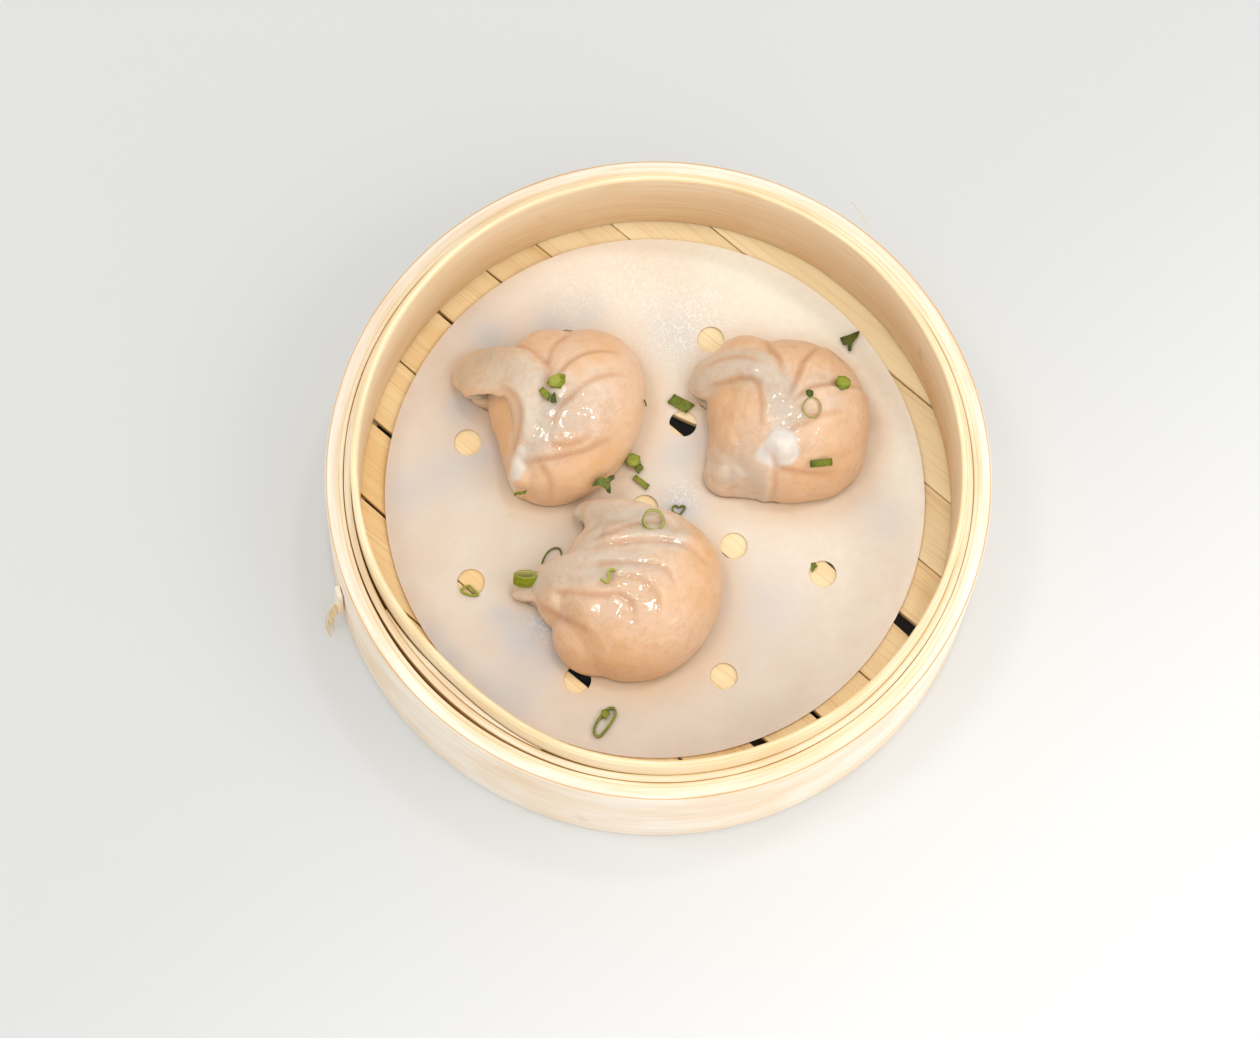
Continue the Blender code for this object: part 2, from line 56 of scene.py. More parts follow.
HOOP_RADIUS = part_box("outer_hoop")[1].x / MM
HOOP_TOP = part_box("outer_hoop")[1].z / MM
INNER_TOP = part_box("inner_hoop")[1].z / MM
SLAT_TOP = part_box("slat_05")[1].z / MM
PAPER_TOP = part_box("liner")[1].z / MM
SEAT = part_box("dumpling_1")[0].z / MM
print("solids:", len(nodes), "basket radius", round(HOOP_RADIUS, 1), "rim", round(INNER_TOP, 1))

# %% [markdown]
# ## The workbench
# Operators act on all that is selected, so each step first puts everything down and
# takes up one piece. These few helpers keep that habit in one place.

# %% Workbench helpers
def put_down():
    """Leave edit mode and select nothing."""
    if bpy.context.object and bpy.context.object.mode != "OBJECT":
        bpy.ops.object.mode_set(mode="OBJECT")
    bpy.ops.object.select_all(action="DESELECT")


def take_up(thing):
    """Make one piece the only selected and the active one."""
    put_down()
    thing.select_set(True)
    bpy.context.view_layer.objects.active = thing


def open_mesh(thing):
    """Go into edit mode with all of the piece selected."""
    take_up(thing)
    bpy.ops.object.mode_set(mode="EDIT")
    bpy.ops.mesh.select_all(action="SELECT")


def apply_modifier(thing, kind, **settings):
    """Add a modifier with these settings and apply it at once."""
    take_up(thing)
    bpy.ops.object.modifier_add(type=kind)
    made = thing.modifiers[-1]
    for setting, value in settings.items():
        setattr(made, setting, value)
    bpy.ops.object.modifier_apply(modifier=made.name)


def named(name):
    """Name the object that was just added."""
    thing = bpy.context.object
    thing.name = name
    return thing


def settle(thing):
    """Write the object's place, turn and size into its mesh."""
    take_up(thing)
    bpy.ops.object.transform_apply(location=True, rotation=True, scale=True)

# %% [markdown]
# The shapes are bent and marked with arrays: the vertices of a piece come out as rows of
# millimetres, are changed all at once, and go back.

# %% Rows of numbers
def places_of(thing):
    """The vertices of a piece as rows of x, y, z in millimetres."""
    rows = np.empty(len(thing.data.vertices) * 3)
    thing.data.vertices.foreach_get("co", rows)
    return rows.reshape(-1, 3) / MM


def move_to(thing, places):
    """Put the vertices of a piece at rows of x, y, z in millimetres."""
    thing.data.vertices.foreach_set("co", (places * MM).ravel())
    thing.data.update()


def paint(thing, name, values):
    """Keep one number for each vertex, or one for them all, for the material to read."""
    layer = thing.data.attributes.new(name, "FLOAT", "POINT")
    every = np.broadcast_to(np.asarray(values, dtype=np.float32), len(layer.data))
    layer.data.foreach_set("value", np.ascontiguousarray(every))


def wear_edges(thing, width, angle=40.0):
    """Round off the sharp edges of a piece."""
    apply_modifier(thing, "BEVEL", width=width * MM, segments=2, limit_method="ANGLE",
                   angle_limit=math.radians(angle))


def make_even(thing, nearer=None):
    """Weld points that are nearer than this, if asked, and turn all faces outwards."""
    open_mesh(thing)
    if nearer:
        bpy.ops.mesh.remove_doubles(threshold=nearer * MM)
    bpy.ops.mesh.normals_make_consistent(inside=False)


def search_tree(*pieces):
    """One tree of faces over some pieces, to find what is near or below a point."""
    rows = []
    faces = []
    for piece in pieces:
        start = len(rows)
        rows += [tuple(row) for row in places_of(piece)]
        faces += [tuple(index + start for index in face.vertices)
                  for face in piece.data.polygons]
    return BVHTree.FromPolygons(rows, faces)


def dress(thing, finish):
    """Give a piece one material."""
    thing.data.materials.clear()
    thing.data.materials.append(finish)


def finish_piece(thing, finish, stands_for=(), smooth=None):
    """Give a piece its material, let it ride on the basket, and hide the solids it stands for.
    """
    dress(thing, finish)
    take_up(thing)
    if smooth is None:
        bpy.ops.object.shade_smooth()
    else:
        bpy.ops.object.shade_smooth_by_angle(angle=math.radians(smooth))
    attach(thing, "root")
    if stands_for:
        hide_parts(*stands_for)
    thing.data.calc_loop_triangles()
    print(thing.name, len(thing.data.loop_triangles), "triangles")


def ease(share):
    """0 below 0, 1 above 1, and an easy curve between."""
    share = np.clip(share, 0.0, 1.0)
    return share * share * (3.0 - 2.0 * share)


def rough_wave(places, size, seed):
    """Soft noise from -1 to 1 at rows of x, y, z, with lumps about size wide."""
    shift = Vector((seed * 17.3, seed * 5.1, seed * 9.7))
    return np.array([noise.noise(Vector(row) / size + shift) for row in places])

# %% [markdown]
# ## Camera
# The basket is seen from high above the table with a long lens, so its circles stay
# nearly round. The camera leans back 16 degrees from straight down and is turned a
# little about its own axis.

# %% Camera
VIEW_LEAN = math.radians(15.99)
VIEW_ROLL = math.radians(5.675)
VIEW_DISTANCE = 1.3912
VIEW_TARGET = Vector((-0.00663, -0.0007, 0.0))
LENS = 142.86

forward = Vector((0.0, math.sin(VIEW_LEAN), -math.cos(VIEW_LEAN)))
level = Vector((1.0, 0.0, 0.0))
upward = level.cross(forward)
side = math.cos(VIEW_ROLL) * level + math.sin(VIEW_ROLL) * upward
top = math.cos(VIEW_ROLL) * upward - math.sin(VIEW_ROLL) * level
put_down()
bpy.ops.object.camera_add()
camera = named("camera")
camera.matrix_world = Matrix.Translation(VIEW_TARGET - forward * VIEW_DISTANCE) @ Matrix(
    (side, top, -forward)).transposed().to_4x4()
camera.data.sensor_width = 36.0
camera.data.lens = LENS
camera.data.clip_end = 20.0
bpy.context.scene.camera = camera
print("camera at", [round(value, 3) for value in camera.location])

# %% [markdown]
# ## Light
# The light is bright and soft: most of it comes from all around. Three weak
# lamps stand to the left, behind and to the right, and draw the faint shadows under the
# ears and the rims. A panel at the near right brightens the wall and the table there.
# Three glints light no surface: they only show in the wet dough.

# %% Light, sky and floor
bpy.context.scene.view_settings.view_transform = "Standard"
sky = bpy.data.worlds.new("studio")
bpy.context.scene.world = sky
sky.use_nodes = True
backdrop = sky.node_tree.nodes["Background"].inputs
backdrop["Color"].default_value = (0.96, 0.97, 1.0, 1.0)
backdrop["Strength"].default_value = 0.92


def aim(lamp, course):
    """Turn a lamp so that it shines along a course."""
    lamp.rotation_mode = "QUATERNION"
    lamp.rotation_quaternion = course.to_track_quat("-Z", "Y")


def add_sun(name, energy, angle, course, diffuse=True):
    """A far lamp that shines along a course."""
    put_down()
    bpy.ops.object.light_add(type="SUN")
    sun = named(name)
    sun.data.energy = energy
    sun.data.angle = math.radians(angle)
    sun.data.color = (1.0, 0.97, 0.93)
    sun.visible_diffuse = diffuse
    aim(sun, Vector(course))


add_sun("lamp_left", 0.38, 12.0, (0.38, 0.0, -1.0))
add_sun("lamp_behind", 0.28, 6.0, (-0.2, -0.3, -1.0))
add_sun("lamp_right", 0.28, 25.0, (-0.75, 0.05, -0.8))
add_sun("glint_right", 0.9, 4.5, (-0.5, 0.16, -0.85), diffuse=False)
add_sun("glint_left", 0.75, 4.5, (0.42, 0.13, -0.89), diffuse=False)
add_sun("glint_above", 0.45, 4.0, (-0.02, 0.27, -0.95), diffuse=False)

put_down()
bpy.ops.object.light_add(type="AREA")
panel = named("panel")
panel.data.energy = 5.0
panel.data.size = 1.4
panel.data.color = (1.0, 0.98, 0.95)
panel.location = (0.76, -0.52, 0.65)
panel.visible_glossy = False
aim(panel, -panel.location)

put_down()
bpy.ops.mesh.primitive_plane_add(size=6.0)
floor = named("floor")

# %% [markdown]
# ## Building materials
# A material is a graph of nodes. This small class adds nodes and joins them, so each
# finish below reads from its texture to its shader.

# %% Node helper
class Graph:
    """A node tree with short ways to add nodes and join them."""

    def __init__(self, tree):
        self.tree = tree

    def add(self, kind, **settings):
        """Add a node with these settings."""
        node = self.tree.nodes.new("ShaderNode" + kind)
        for name, value in settings.items():
            setattr(node, name, value)
        return node

    def feed(self, node, **inputs):
        """Fill sockets, named or numbered: a socket is joined, a value is set."""
        for name, value in inputs.items():
            numbered = name[0] == "i" and name[1:].isdigit()
            socket = node.inputs[int(name[1:]) if numbered else name.replace("_", " ")]
            if isinstance(value, bpy.types.NodeSocket):
                self.tree.links.new(value, socket)
            else:
                socket.default_value = value
        return node

    def place(self):
        """Where a point is on its object, in metres."""
        return self.add("TexCoord").outputs["Object"]

    def parts(self, vector):
        """The x, y and z of a vector."""
        return self.feed(self.add("SeparateXYZ"), Vector=vector).outputs

    def math(self, operation, first, second=0.5, third=0.5, clamp=False):
        node = self.add("Math", operation=operation, use_clamp=clamp)
        self.feed(node, i0=first, i1=second, i2=third)
        return node.outputs[0]

    def times(self, first, second, clamp=False):
        return self.math("MULTIPLY", first, second, clamp=clamp)

    def spread(self, value, low, high, to_low=0.0, to_high=1.0):
        """Stretch the part of a value between low and high over 0 to 1, with soft ends."""
        node = self.add("MapRange", interpolation_type="SMOOTHSTEP")
        self.feed(node, i0=value, i1=low, i2=high, i3=to_low, i4=to_high)
        return node.outputs[0]

    def mix(self, share, first, second, blend="MIX"):
        """Mix two colours; a colour is a socket or its red, green and blue."""
        node = self.add("Mix", data_type="RGBA", blend_type=blend)
        first, second = [(*colour, 1.0) if isinstance(colour, tuple) else colour
                         for colour in (first, second)]
        self.feed(node, i0=share, i6=first, i7=second)
        return node.outputs[2]

    def noise(self, vector, scale, detail=2.0, roughness=0.5, along=None, distortion=0.0):
        """Noise texture; with along, a fourth coordinate."""
        node = self.add("TexNoise", noise_dimensions="4D" if along is not None else "3D")
        self.feed(node, Vector=vector, Scale=scale, Detail=detail, Roughness=roughness,
                  Distortion=distortion, **({} if along is None else {"W": along}))
        return node.outputs["Fac"]

    def attribute(self, name):
        return self.add("Attribute", attribute_name=name).outputs["Fac"]

    def bump(self, height, strength, depth, normal=None):
        """Relief of a depth in millimetres, on top of another normal where there is one."""
        under = {} if normal is None else {"Normal": normal}
        return self.feed(self.add("Bump"), Height=height, Strength=strength,
                         Distance=depth * MM, **under).outputs["Normal"]

# %% [markdown]
# Two makers follow. Shared effects are groups: they give out only numbers, and every
# material keeps its own shader.

# %% Makers of materials and groups
def new_material(name, roughness=0.5, **sockets):
    """A material with its graph and its shader, constants set on the shader itself."""
    made = bpy.data.materials.new(name)
    made.use_nodes = True
    graph = Graph(made.node_tree)
    shader = made.node_tree.nodes["Principled BSDF"]
    graph.feed(shader, Roughness=roughness, **sockets)
    return made, graph, shader


def new_group(name, inputs, outputs):
    """A shader group: inputs is name to default, outputs is a list of names."""
    tree = bpy.data.node_groups.new(name, "ShaderNodeTree")
    for label, value in inputs.items():
        socket = tree.interface.new_socket(name=label, in_out="INPUT",
                                           socket_type="NodeSocketFloat")
        socket.default_value = value
    for label in outputs:
        tree.interface.new_socket(name=label, in_out="OUTPUT", socket_type="NodeSocketFloat")
    graph = Graph(tree)
    return tree, graph, tree.nodes.new("NodeGroupInput"), tree.nodes.new("NodeGroupOutput")


def place_group(graph, tree):
    """Put a group into a graph and give its outputs."""
    return graph.add("Group", node_tree=tree).outputs

# %% [markdown]
# The table is lighter on the near right side, where the window would be. A little light
# of its own, only outside the basket, keeps the basket's shadow faint.

# %% Floor material
floor_finish, graph, shader = new_material("pale floor", 0.6, Emission_Strength=0.26)
place = graph.place()
east, north, _ = graph.parts(place)
window = graph.spread(graph.math("SUBTRACT", east, north), -0.04, 0.28)
away = graph.feed(graph.add("VectorMath", operation="LENGTH"), i0=place).outputs["Value"]
graph.feed(shader,
           Base_Color=graph.mix(window, (0.385, 0.39, 0.38), (0.56, 0.55, 0.53)),
           Emission_Color=graph.mix(graph.spread(away, 0.086, 0.092), (0.0, 0.0, 0.0),
                                    (0.98, 0.98, 0.95)))
floor.data.materials.append(floor_finish)
print("finish:", floor_finish.name)

# %% [markdown]
# ## Bamboo fibres
# Split bamboo shows long straight fibres. In a hoop they follow the bend, so the noise
# is laid out by direction round the basket, height and radius. In a slat they run
# straight along it. Both groups give a fine fibre value and a broad, slow change of
# tone, and each material decides what to do with them.

# %% Fibre groups
def build_hoop_fibres():
    tree, graph, source, sink = new_group("hoop fibres", {"Fineness": 1400.0, "Length": 3.2},
                                          ["Fibres", "Tone"])
    place = graph.place()
    east, north, height = graph.parts(place)
    radius = graph.math("SQRT", graph.math("ADD", graph.times(east, east),
                                           graph.times(north, north)))

    def strands(length, fineness, across, softness):
        """Noise that is long round the basket and fine in height and across the strip."""
        around = graph.feed(
            graph.add("CombineXYZ"),
            X=graph.times(graph.math("DIVIDE", east, radius), length),
            Y=graph.times(graph.math("DIVIDE", north, radius), length),
            Z=graph.times(height, fineness))
        return graph.noise(around.outputs[0], 1.0, 3.0, softness,
                           along=graph.times(radius, across))

    fineness = source.outputs["Fineness"]
    graph.feed(sink, Fibres=strands(source.outputs["Length"], fineness, fineness, 0.6),
               Tone=strands(2.6, 60.0, 300.0, 0.55))
    return tree


def build_board_fibres():
    tree, graph, source, sink = new_group("board fibres", {"Turn": 34.5}, ["Fibres", "Tone"])
    place = graph.place()
    turned = graph.add("VectorRotate", rotation_type="Z_AXIS")
    graph.feed(turned, Vector=place, Angle=graph.math("RADIANS", source.outputs["Turn"]))

    def grain(stretch, softness):
        """Noise stretched along the board."""
        longer = graph.feed(graph.add("VectorMath", operation="MULTIPLY"),
                            i0=turned.outputs[0], i1=stretch)
        return graph.noise(longer.outputs[0], 1.0, 3.0, softness)

    graph.feed(sink, Fibres=grain((28.0, 1500.0, 900.0), 0.6),
               Tone=grain((14.0, 160.0, 160.0), 0.55))
    return tree


hoop_fibres = build_hoop_fibres()
board_fibres = build_board_fibres()
print("groups:", hoop_fibres.name, "and", board_fibres.name)

# %% [markdown]
# ## Bamboo finishes
# The hoops are pale where they were cut and carry a thin darker line where the bark
# was. Each hoop keeps a number called across, from 0 on its inner face to 1 on its
# outer face, and a colour ramp reads it: that puts the bark line on the right edge.

# %% Bamboo materials
PALE_CUT = (0.96, 0.87, 0.70)
OUTER_EDGE = (0.97, 0.88, 0.77)
RIM_CUT = (0.94, 0.81, 0.57)
WARM_CUT = (0.93, 0.78, 0.52)
WARM_EDGE = (0.94, 0.82, 0.58)
YELLOW_LINE = (0.86, 0.66, 0.30)
BARK_LINE = (0.68, 0.44, 0.20)
INSIDE_WALL = (0.90, 0.76, 0.55)
# Painted shade: this colour darkens the low part of the inner wall.
LOW_WALL_SHADE = (0.85, 0.755, 0.63)
OUTSIDE_WALL = (0.97, 0.88, 0.75)
KNOT = (0.42, 0.22, 0.10)
FIBRE_DEPTH = 0.05
SHADE_FULL_LEVEL = 26.0


def hoop_finish(name, stops, roughness, low_shade=None):
    """Bamboo bent round: stops are places across the strip, each with its colour. A low colour,
    if given, is painted shade that darkens the wall towards the bottom.
    """
    made, graph, shader = new_material(name, roughness)
    fibres = place_group(graph, hoop_fibres)
    ramp = graph.feed(graph.add("ValToRGB"), Fac=graph.attribute("across"))
    elements = ramp.color_ramp.elements
    elements.remove(elements[1])
    for number, (place, colour) in enumerate(stops):
        stop = elements.new(place) if number else elements[0]
        stop.position = place
        stop.color = (*colour, 1.0)
    toned = graph.mix(graph.spread(fibres["Tone"], 0.35, 0.7, 0.0, 0.55),
                      ramp.outputs["Color"], (0.86, 0.64, 0.36), "MULTIPLY")
    streaks = graph.times(graph.spread(fibres["Fibres"], 0.36, 0.66), 0.24)
    darker = graph.mix(streaks, toned, (0.66, 0.46, 0.26), "MULTIPLY")
    # Painted shade: the wall is darkened towards the bottom, with a patchy upper edge.
    if low_shade:
        patch = graph.times(graph.spread(fibres["Tone"], 0.3, 0.75, -8.0, 8.0), MM)
        height = graph.math("ADD", graph.parts(graph.place())[2], patch)
        shade_share = graph.spread(height, INNER_TOP * MM, SHADE_FULL_LEVEL * MM)
        darker = graph.mix(shade_share, darker, low_shade, "MULTIPLY")
    knots = graph.times(graph.attribute("knot"), 0.6)
    graph.feed(shader, Base_Color=graph.mix(knots, darker, KNOT),
               Roughness=graph.spread(fibres["Fibres"], 0.2, 0.8, roughness - 0.08,
                                      roughness + 0.1),
               Normal=graph.bump(fibres["Fibres"], 0.35, FIBRE_DEPTH))
    return made


outer_finish = hoop_finish("bamboo, outer hoop", (
    (0.0, YELLOW_LINE), (0.06, PALE_CUT), (0.2, PALE_CUT), (0.24, YELLOW_LINE),
    (0.29, PALE_CUT), (0.86, OUTER_EDGE), (0.91, BARK_LINE), (0.95, BARK_LINE),
    (0.98, OUTSIDE_WALL)), 0.6)
middle_finish = hoop_finish("bamboo, middle hoop", (
    (0.0, YELLOW_LINE), (0.3, PALE_CUT), (0.7, PALE_CUT), (1.0, WARM_CUT)), 0.55)
inner_finish = hoop_finish("bamboo, inner hoop", (
    (0.0, INSIDE_WALL), (0.14, YELLOW_LINE), (0.26, RIM_CUT), (0.62, RIM_CUT),
    (0.74, YELLOW_LINE), (0.86, WARM_CUT), (1.0, WARM_EDGE)), 0.6, LOW_WALL_SHADE)
print("finishes:", outer_finish.name, middle_finish.name, inner_finish.name, sep="; ")

# %% [markdown]
# The slats are sawn straight, so their grain is straight too. A number for each slat takes it
# from nearly white to honey yellow: it is partly the bamboo's own tone and partly painted
# light.

# %% Slat material
slat_finish, graph, shader = new_material("bamboo, slats", 0.55)
fibres = place_group(graph, board_fibres)
tint_and_light = graph.attribute("tint_and_light")
# Each slat's tint is partly its own tone and partly painted light.
colour = graph.mix(tint_and_light, (1.0, 0.85, 0.53), (0.90, 0.66, 0.32))
shade = graph.times(graph.spread(fibres["Tone"], 0.35, 0.7, 0.0, 0.7),
                   graph.spread(tint_and_light, 0.0, 1.0, 0.2, 1.0))
colour = graph.mix(shade, colour, (0.90, 0.76, 0.56), "MULTIPLY")
lines = graph.spread(fibres["Fibres"], 0.50, 0.72, 0.0, 0.32)
graph.feed(shader, Base_Color=graph.mix(lines, colour, (0.60, 0.38, 0.18), "MULTIPLY"),
           Normal=graph.bump(fibres["Fibres"], 0.4, 0.06))
print("finish:", slat_finish.name)

# %% [markdown]
# ## Hoops
# Each hoop starts as its own section, a small upright rectangle. Its corners are worn
# round with a bevel, and the outline is spun once round the basket. Then the strip is
# bent by hand: real bamboo springs inwards at one side, and its edge is never level.

# %% Spin the hoops
DENT_ANGLE = -129.0
DENT_SPREAD = 22.0
HOOP_STEPS = 240
LEDGE_TOP = 18.6
UPRIGHT_EDGE = 5.0
UPRIGHT_CUTS = 7
UNEVEN = 0.18
FRAYED = 0.05
# A knot is its direction round the basket, its height, and how wide and tall it is.
KNOTS = {
    "outer_hoop_strip": ((-97.7, 12.0, 0.7, 0.9), (-100.4, 30.0, 0.4, 0.5)),
    "middle_hoop_strip": ((20.0, 30.0, 0.5, 0.6),),
    "inner_hoop_strip": ((17.0, 30.0, 0.8, 1.3), (33.0, 36.0, 0.7, 1.0),
                         (118.0, 40.0, 0.5, 0.8)),
}


def spun_hoop(name, bore, wall, base, rim, corner):
    """A closed hoop: a section with worn corners, spun round the basket's axis."""
    put_down()
    bpy.ops.mesh.primitive_plane_add(
        size=1.0, location=((bore + wall / 2.0) * MM, 0.0, (base + rim) / 2.0 * MM),
        rotation=(math.radians(90.0), 0.0, 0.0))
    hoop = named(name)
    hoop.scale = (wall * MM, (rim - base) * MM, 1.0)
    settle(hoop)
    open_mesh(hoop)
    bpy.ops.mesh.bevel(offset=corner * MM, segments=3, affect="VERTICES")
    bpy.ops.mesh.delete(type="ONLY_FACE")
    bpy.ops.object.mode_set(mode="OBJECT")
    for edge in hoop.data.edges:
        ends = [hoop.data.vertices[index].co for index in edge.vertices]
        edge.select = abs(ends[0].z - ends[1].z) > UPRIGHT_EDGE * MM
    bpy.ops.object.mode_set(mode="EDIT")
    bpy.ops.mesh.subdivide(number_cuts=UPRIGHT_CUTS)
    bpy.ops.mesh.select_all(action="SELECT")
    bpy.ops.mesh.spin(steps=HOOP_STEPS, angle=2.0 * math.pi, center=(0.0, 0.0, 0.0),
                      axis=(0.0, 0.0, 1.0))
    make_even(hoop, 0.01)
    put_down()
    return hoop


def away_from(angles, centre):
    """Degrees from a direction, -180 to 180."""
    return (angles - centre + 180.0) % 360.0 - 180.0


def bend_hoop(hoop, bore, wall, base, rim, dent, seed):
    """Push the hoop in at the dent and make it as uneven as split bamboo."""
    places = places_of(hoop)
    radius = np.hypot(places[:, 0], places[:, 1])
    angles = np.degrees(np.arctan2(places[:, 1], places[:, 0]))
    paint(hoop, "across", np.clip((radius - bore) / wall, 0.0, 1.0))
    direction = places[:, :2] / radius[:, None]
    paint(hoop, "knot", sum(np.exp(-(away_from(angles, angle) / wide) ** 2
                                   - ((places[:, 2] - level) / tall) ** 2)
                            for angle, level, wide, tall in KNOTS[hoop.name]))
    inward = dent * np.exp(-(away_from(angles, DENT_ANGLE) / DENT_SPREAD) ** 2)
    around = np.column_stack([direction * 4.0, np.full(len(places), seed * 3.0)])
    wobble = UNEVEN * 0.4 * rough_wave(around, 1.0, seed)
    height = (places[:, 2] - base) / (rim - base)
    lift = UNEVEN * ease(height) * rough_wave(around * 1.6, 1.0, seed + 5)
    fray = FRAYED * ease((height - 0.8) / 0.2) * rough_wave(around * 14.0, 1.0, seed + 9)
    places[:, :2] = direction * (radius - inward + wobble)[:, None]
    places[:, 2] += lift + fray
    move_to(hoop, places)


HOOPS = {
    # name: bore, wall, base, rim, worn corner, dent, finish
    "outer_hoop": (85.15, 4.85, 0.0, HOOP_TOP, 0.4, 0.0, outer_finish),
    "middle_hoop": (83.2, 1.85, LEDGE_TOP, HOOP_TOP, 0.12, 0.9, middle_finish),
    "inner_hoop": (81.1, 2.0, LEDGE_TOP, INNER_TOP, 0.35, 2.7, inner_finish),
}
for number, (name, (bore, wall, base, rim, corner, dent, finish)) in enumerate(HOOPS.items()):
    hoop = spun_hoop(name + "_strip", bore, wall, base, rim, corner)
    bend_hoop(hoop, bore, wall, base, rim, dent, number + 1)
    finish_piece(hoop, finish, [name], smooth=50)

# %% [markdown]
# ## Loose end and ledge
# Where the inner strip overlaps itself its end springs away, and a thin tongue of
# bamboo stands between the two hoops. The ledge below carries the slats; it is hidden,
# and keeps its plain solid. The tongue is a copy of its solid, merged and rounded.

# %% Rounded copies of solids
def rounded_copy(node, name, corner):
    """A copy of a solid with its loose triangles merged and its edges worn."""
    put_down()
    copy = nodes[node].copy()
    copy.data = nodes[node].data.copy()
    copy.name = name
    copy.parent = None
    for key in list(copy.keys()):
        del copy[key]
    bpy.context.scene.collection.objects.link(copy)
    make_even(copy, 0.01)
    bpy.ops.mesh.dissolve_limited(angle_limit=math.radians(2.0))
    wear_edges(copy, corner, 35.0)
    return copy


tongue = rounded_copy("lap_strip", "lap_strip_tongue", 0.2)
paint(tongue, "across", 0.3)
finish_piece(tongue, middle_finish, ["lap_strip"], smooth=50)
dress(nodes["ledge_hoop"], slat_finish)

# %% [markdown]
# ## Floor of slats
# The slats are sawn boards with slightly rubbed edges. Each is a copy of its solid with a small
# bevel, and keeps a tone of its own: partly the bamboo's own, as no two strips match, and
# partly painted light.

# %% Slats and cross bars
# Partly painted light: paler tints stand for slats that lie in more light.
SLAT_TINTS_AND_LIGHT = (0.0, 0.0, 0.2, 0.5, 0.4, 0.6, 0.5, 0.9, 0.7, 0.9)
for number, tint_and_light in enumerate(SLAT_TINTS_AND_LIGHT, start=1):
    node = f"slat_{number:02d}"
    slat = rounded_copy(node, node + "_board", 0.22)
    paint(slat, "tint_and_light", tint_and_light)
    finish_piece(slat, slat_finish, [node], smooth=40)
for number in (1, 2, 3):
    dress(nodes[f"cross_bar_{number}"], slat_finish)

# %% [markdown]
# ## Dumpling skins
# A shrimp dumpling is one round of thin dough, filled, folded and pleated. It is made
# here as a potter would: swellings are pressed together from balls, the pinched crest
# is a chain of flattened balls, and a voxel remesh turns them into one skin. Then the
# pleats are drawn as lips, each a soft step up along its own line. The first dumpling
# has a curled ear at its left end.

# %% First recipe
# Heights are above the seat, in millimetres. A lobe is x, y, z, three radii and a turn.
# A crest is a route of x, y, z, half width, half height and lean. A lip is height, foot,
# fade and hand, and then its route. A mark is x, y, radius and strength.
DUMPLINGS = {}
DUMPLINGS["dumpling_1"] = {
    "lobes": (
        (-25.2, 19.4, 8.5, 18.8, 25.4, 13.8, -20), (-37.6, 16, 7, 9, 18, 10, 28),
        (-32.4, 30.8, 8, 12.2, 12.4, 10.5, 0), (-30.4, 5.8, 7.5, 11.8, 11.8, 10.5, 0),
        (-37.4, 2, 11, 4.2, 6.6, 5.2, 14),
    ),
    "crests": (
        ((-58, 26.2, 5.6, 4.2, 1.8, 25), (-55.2, 27.8, 8.2, 7.4, 2.4, 22),
         (-50, 28.4, 12.2, 8.2, 2.8, 18), (-44, 27.4, 15.8, 8, 3, 8),
         (-39.4, 24.6, 17.8, 7.4, 3.2, -2), (-37, 18, 18.2, 5.4, 3.4, -10),
         (-36.6, 10, 16.8, 4.4, 3.4, -14), (-38, 3, 12.8, 3.4, 3, -10)),
    ),
    "lips": (
        (0.9, 0.25, 5, -1, (-40.8, -1), (-39.6, 4), (-38.5, 11.3), (-39.4, 17.5), (-42.5, 21.1),
         (-47, 22.6)),
        (0.8, 0.2, 6, -1, (-47, 35), (-43, 35.2), (-39, 33.8), (-35.8, 31.6), (-32.9, 28.3),
         (-33.3, 23), (-34.2, 15)),
        (1.5, 0.55, 9, -1, (-32.5, 21), (-28.2, 28.1), (-24.3, 32), (-20.1, 34.2), (-12, 36)),
        (0.9, 0.3, 7, -1, (-33, 25), (-32.4, 33), (-30, 37.5), (-25, 42)),
        (0.7, 0.2, 6, 1, (-9, 29.5), (-15, 27.8), (-20.3, 25.2), (-24.8, 20.7), (-28.6, 15.7),
         (-30, 8)),
        (1, 0.3, 7, 1, (-38.5, 2), (-32, 3.2), (-25.9, 4.6), (-19, 7.5), (-10, 15)),
        (0.7, 0.25, 4, 1, (-31, 7.8), (-27.5, 7.2), (-23.5, 8.2), (-18, 12.5)),
        (0.4, 0.1, 5, 1, (-33.5, 3.5), (-29, -1.5), (-28.5, -7)),
    ),
    "pale": (
        (-36.5, 24, 6, 0.8), (-32.2, 17, 5.5, 0.85), (-19.9, 23.4, 7, 0.35),
        (-23.9, 11.8, 5, 0.35), (-33.3, 10, 5, 0.85), (-34.5, 5.5, 3.5, 0.6)),
    "white": ((-38.9, 3.8, 2.6, 0.9), (-38.3, 0.2, 2.8, 0.9), (-39.6, -1.6, 1.8, 0.5)),
    "warm_and_shade": (
        (-43.2, 19, 5.5, 0.8), (-42.9, 12.6, 4.6, 0.9), (-42, 6.3, 3.6, 0.8),
        (-19, 0.9, 8, 0.75), (-26.6, -2.6, 7, 0.6), (-13.5, 5.2, 6.5, 0.95),
        (-26.7, 7.2, 1.8, 1), (-23.8, 7.4, 1.6, 1), (-24.6, 28.2, 2.2, 0.9),
        # The mark at (-15.5, 3.5) deepens the orange low on the belly as painted shade.
        (-20.5, 32.6, 3, 0.95), (-15.5, 3.5, 4.5, 0.8), (-17, 36.3, 4, 0.6),
        (-34.4, 36.5, 5, 0.35), (-20.1, 40.1, 6, 0.4), (-9.4, 14.5, 6, 0.35), (-6, 24, 6, 0.3),
        (-35, -4, 4, 0.5)),
    "wet": (
        (-30.1, 9.9, 5, 0.8), (-26.6, 17.3, 4.5, 0.8), (-20.3, 12.5, 5.5, 1),
        (-27.8, 12.4, 5, 0.8), (-33.5, 3.7, 3, 0.9), (-26.1, 5.2, 3.5, 0.7), (-49, 31, 4, 0.6),
        (-24, 22, 4, 0.5), (-17, 18, 4, 0.5)),
}
print("first recipe:", sorted(DUMPLINGS["dumpling_1"]))

# %% [markdown]
# The second dumpling has a folded flap: a crest that comes forward from its left end and
# then falls to the near side, with a white knot of dough on it.

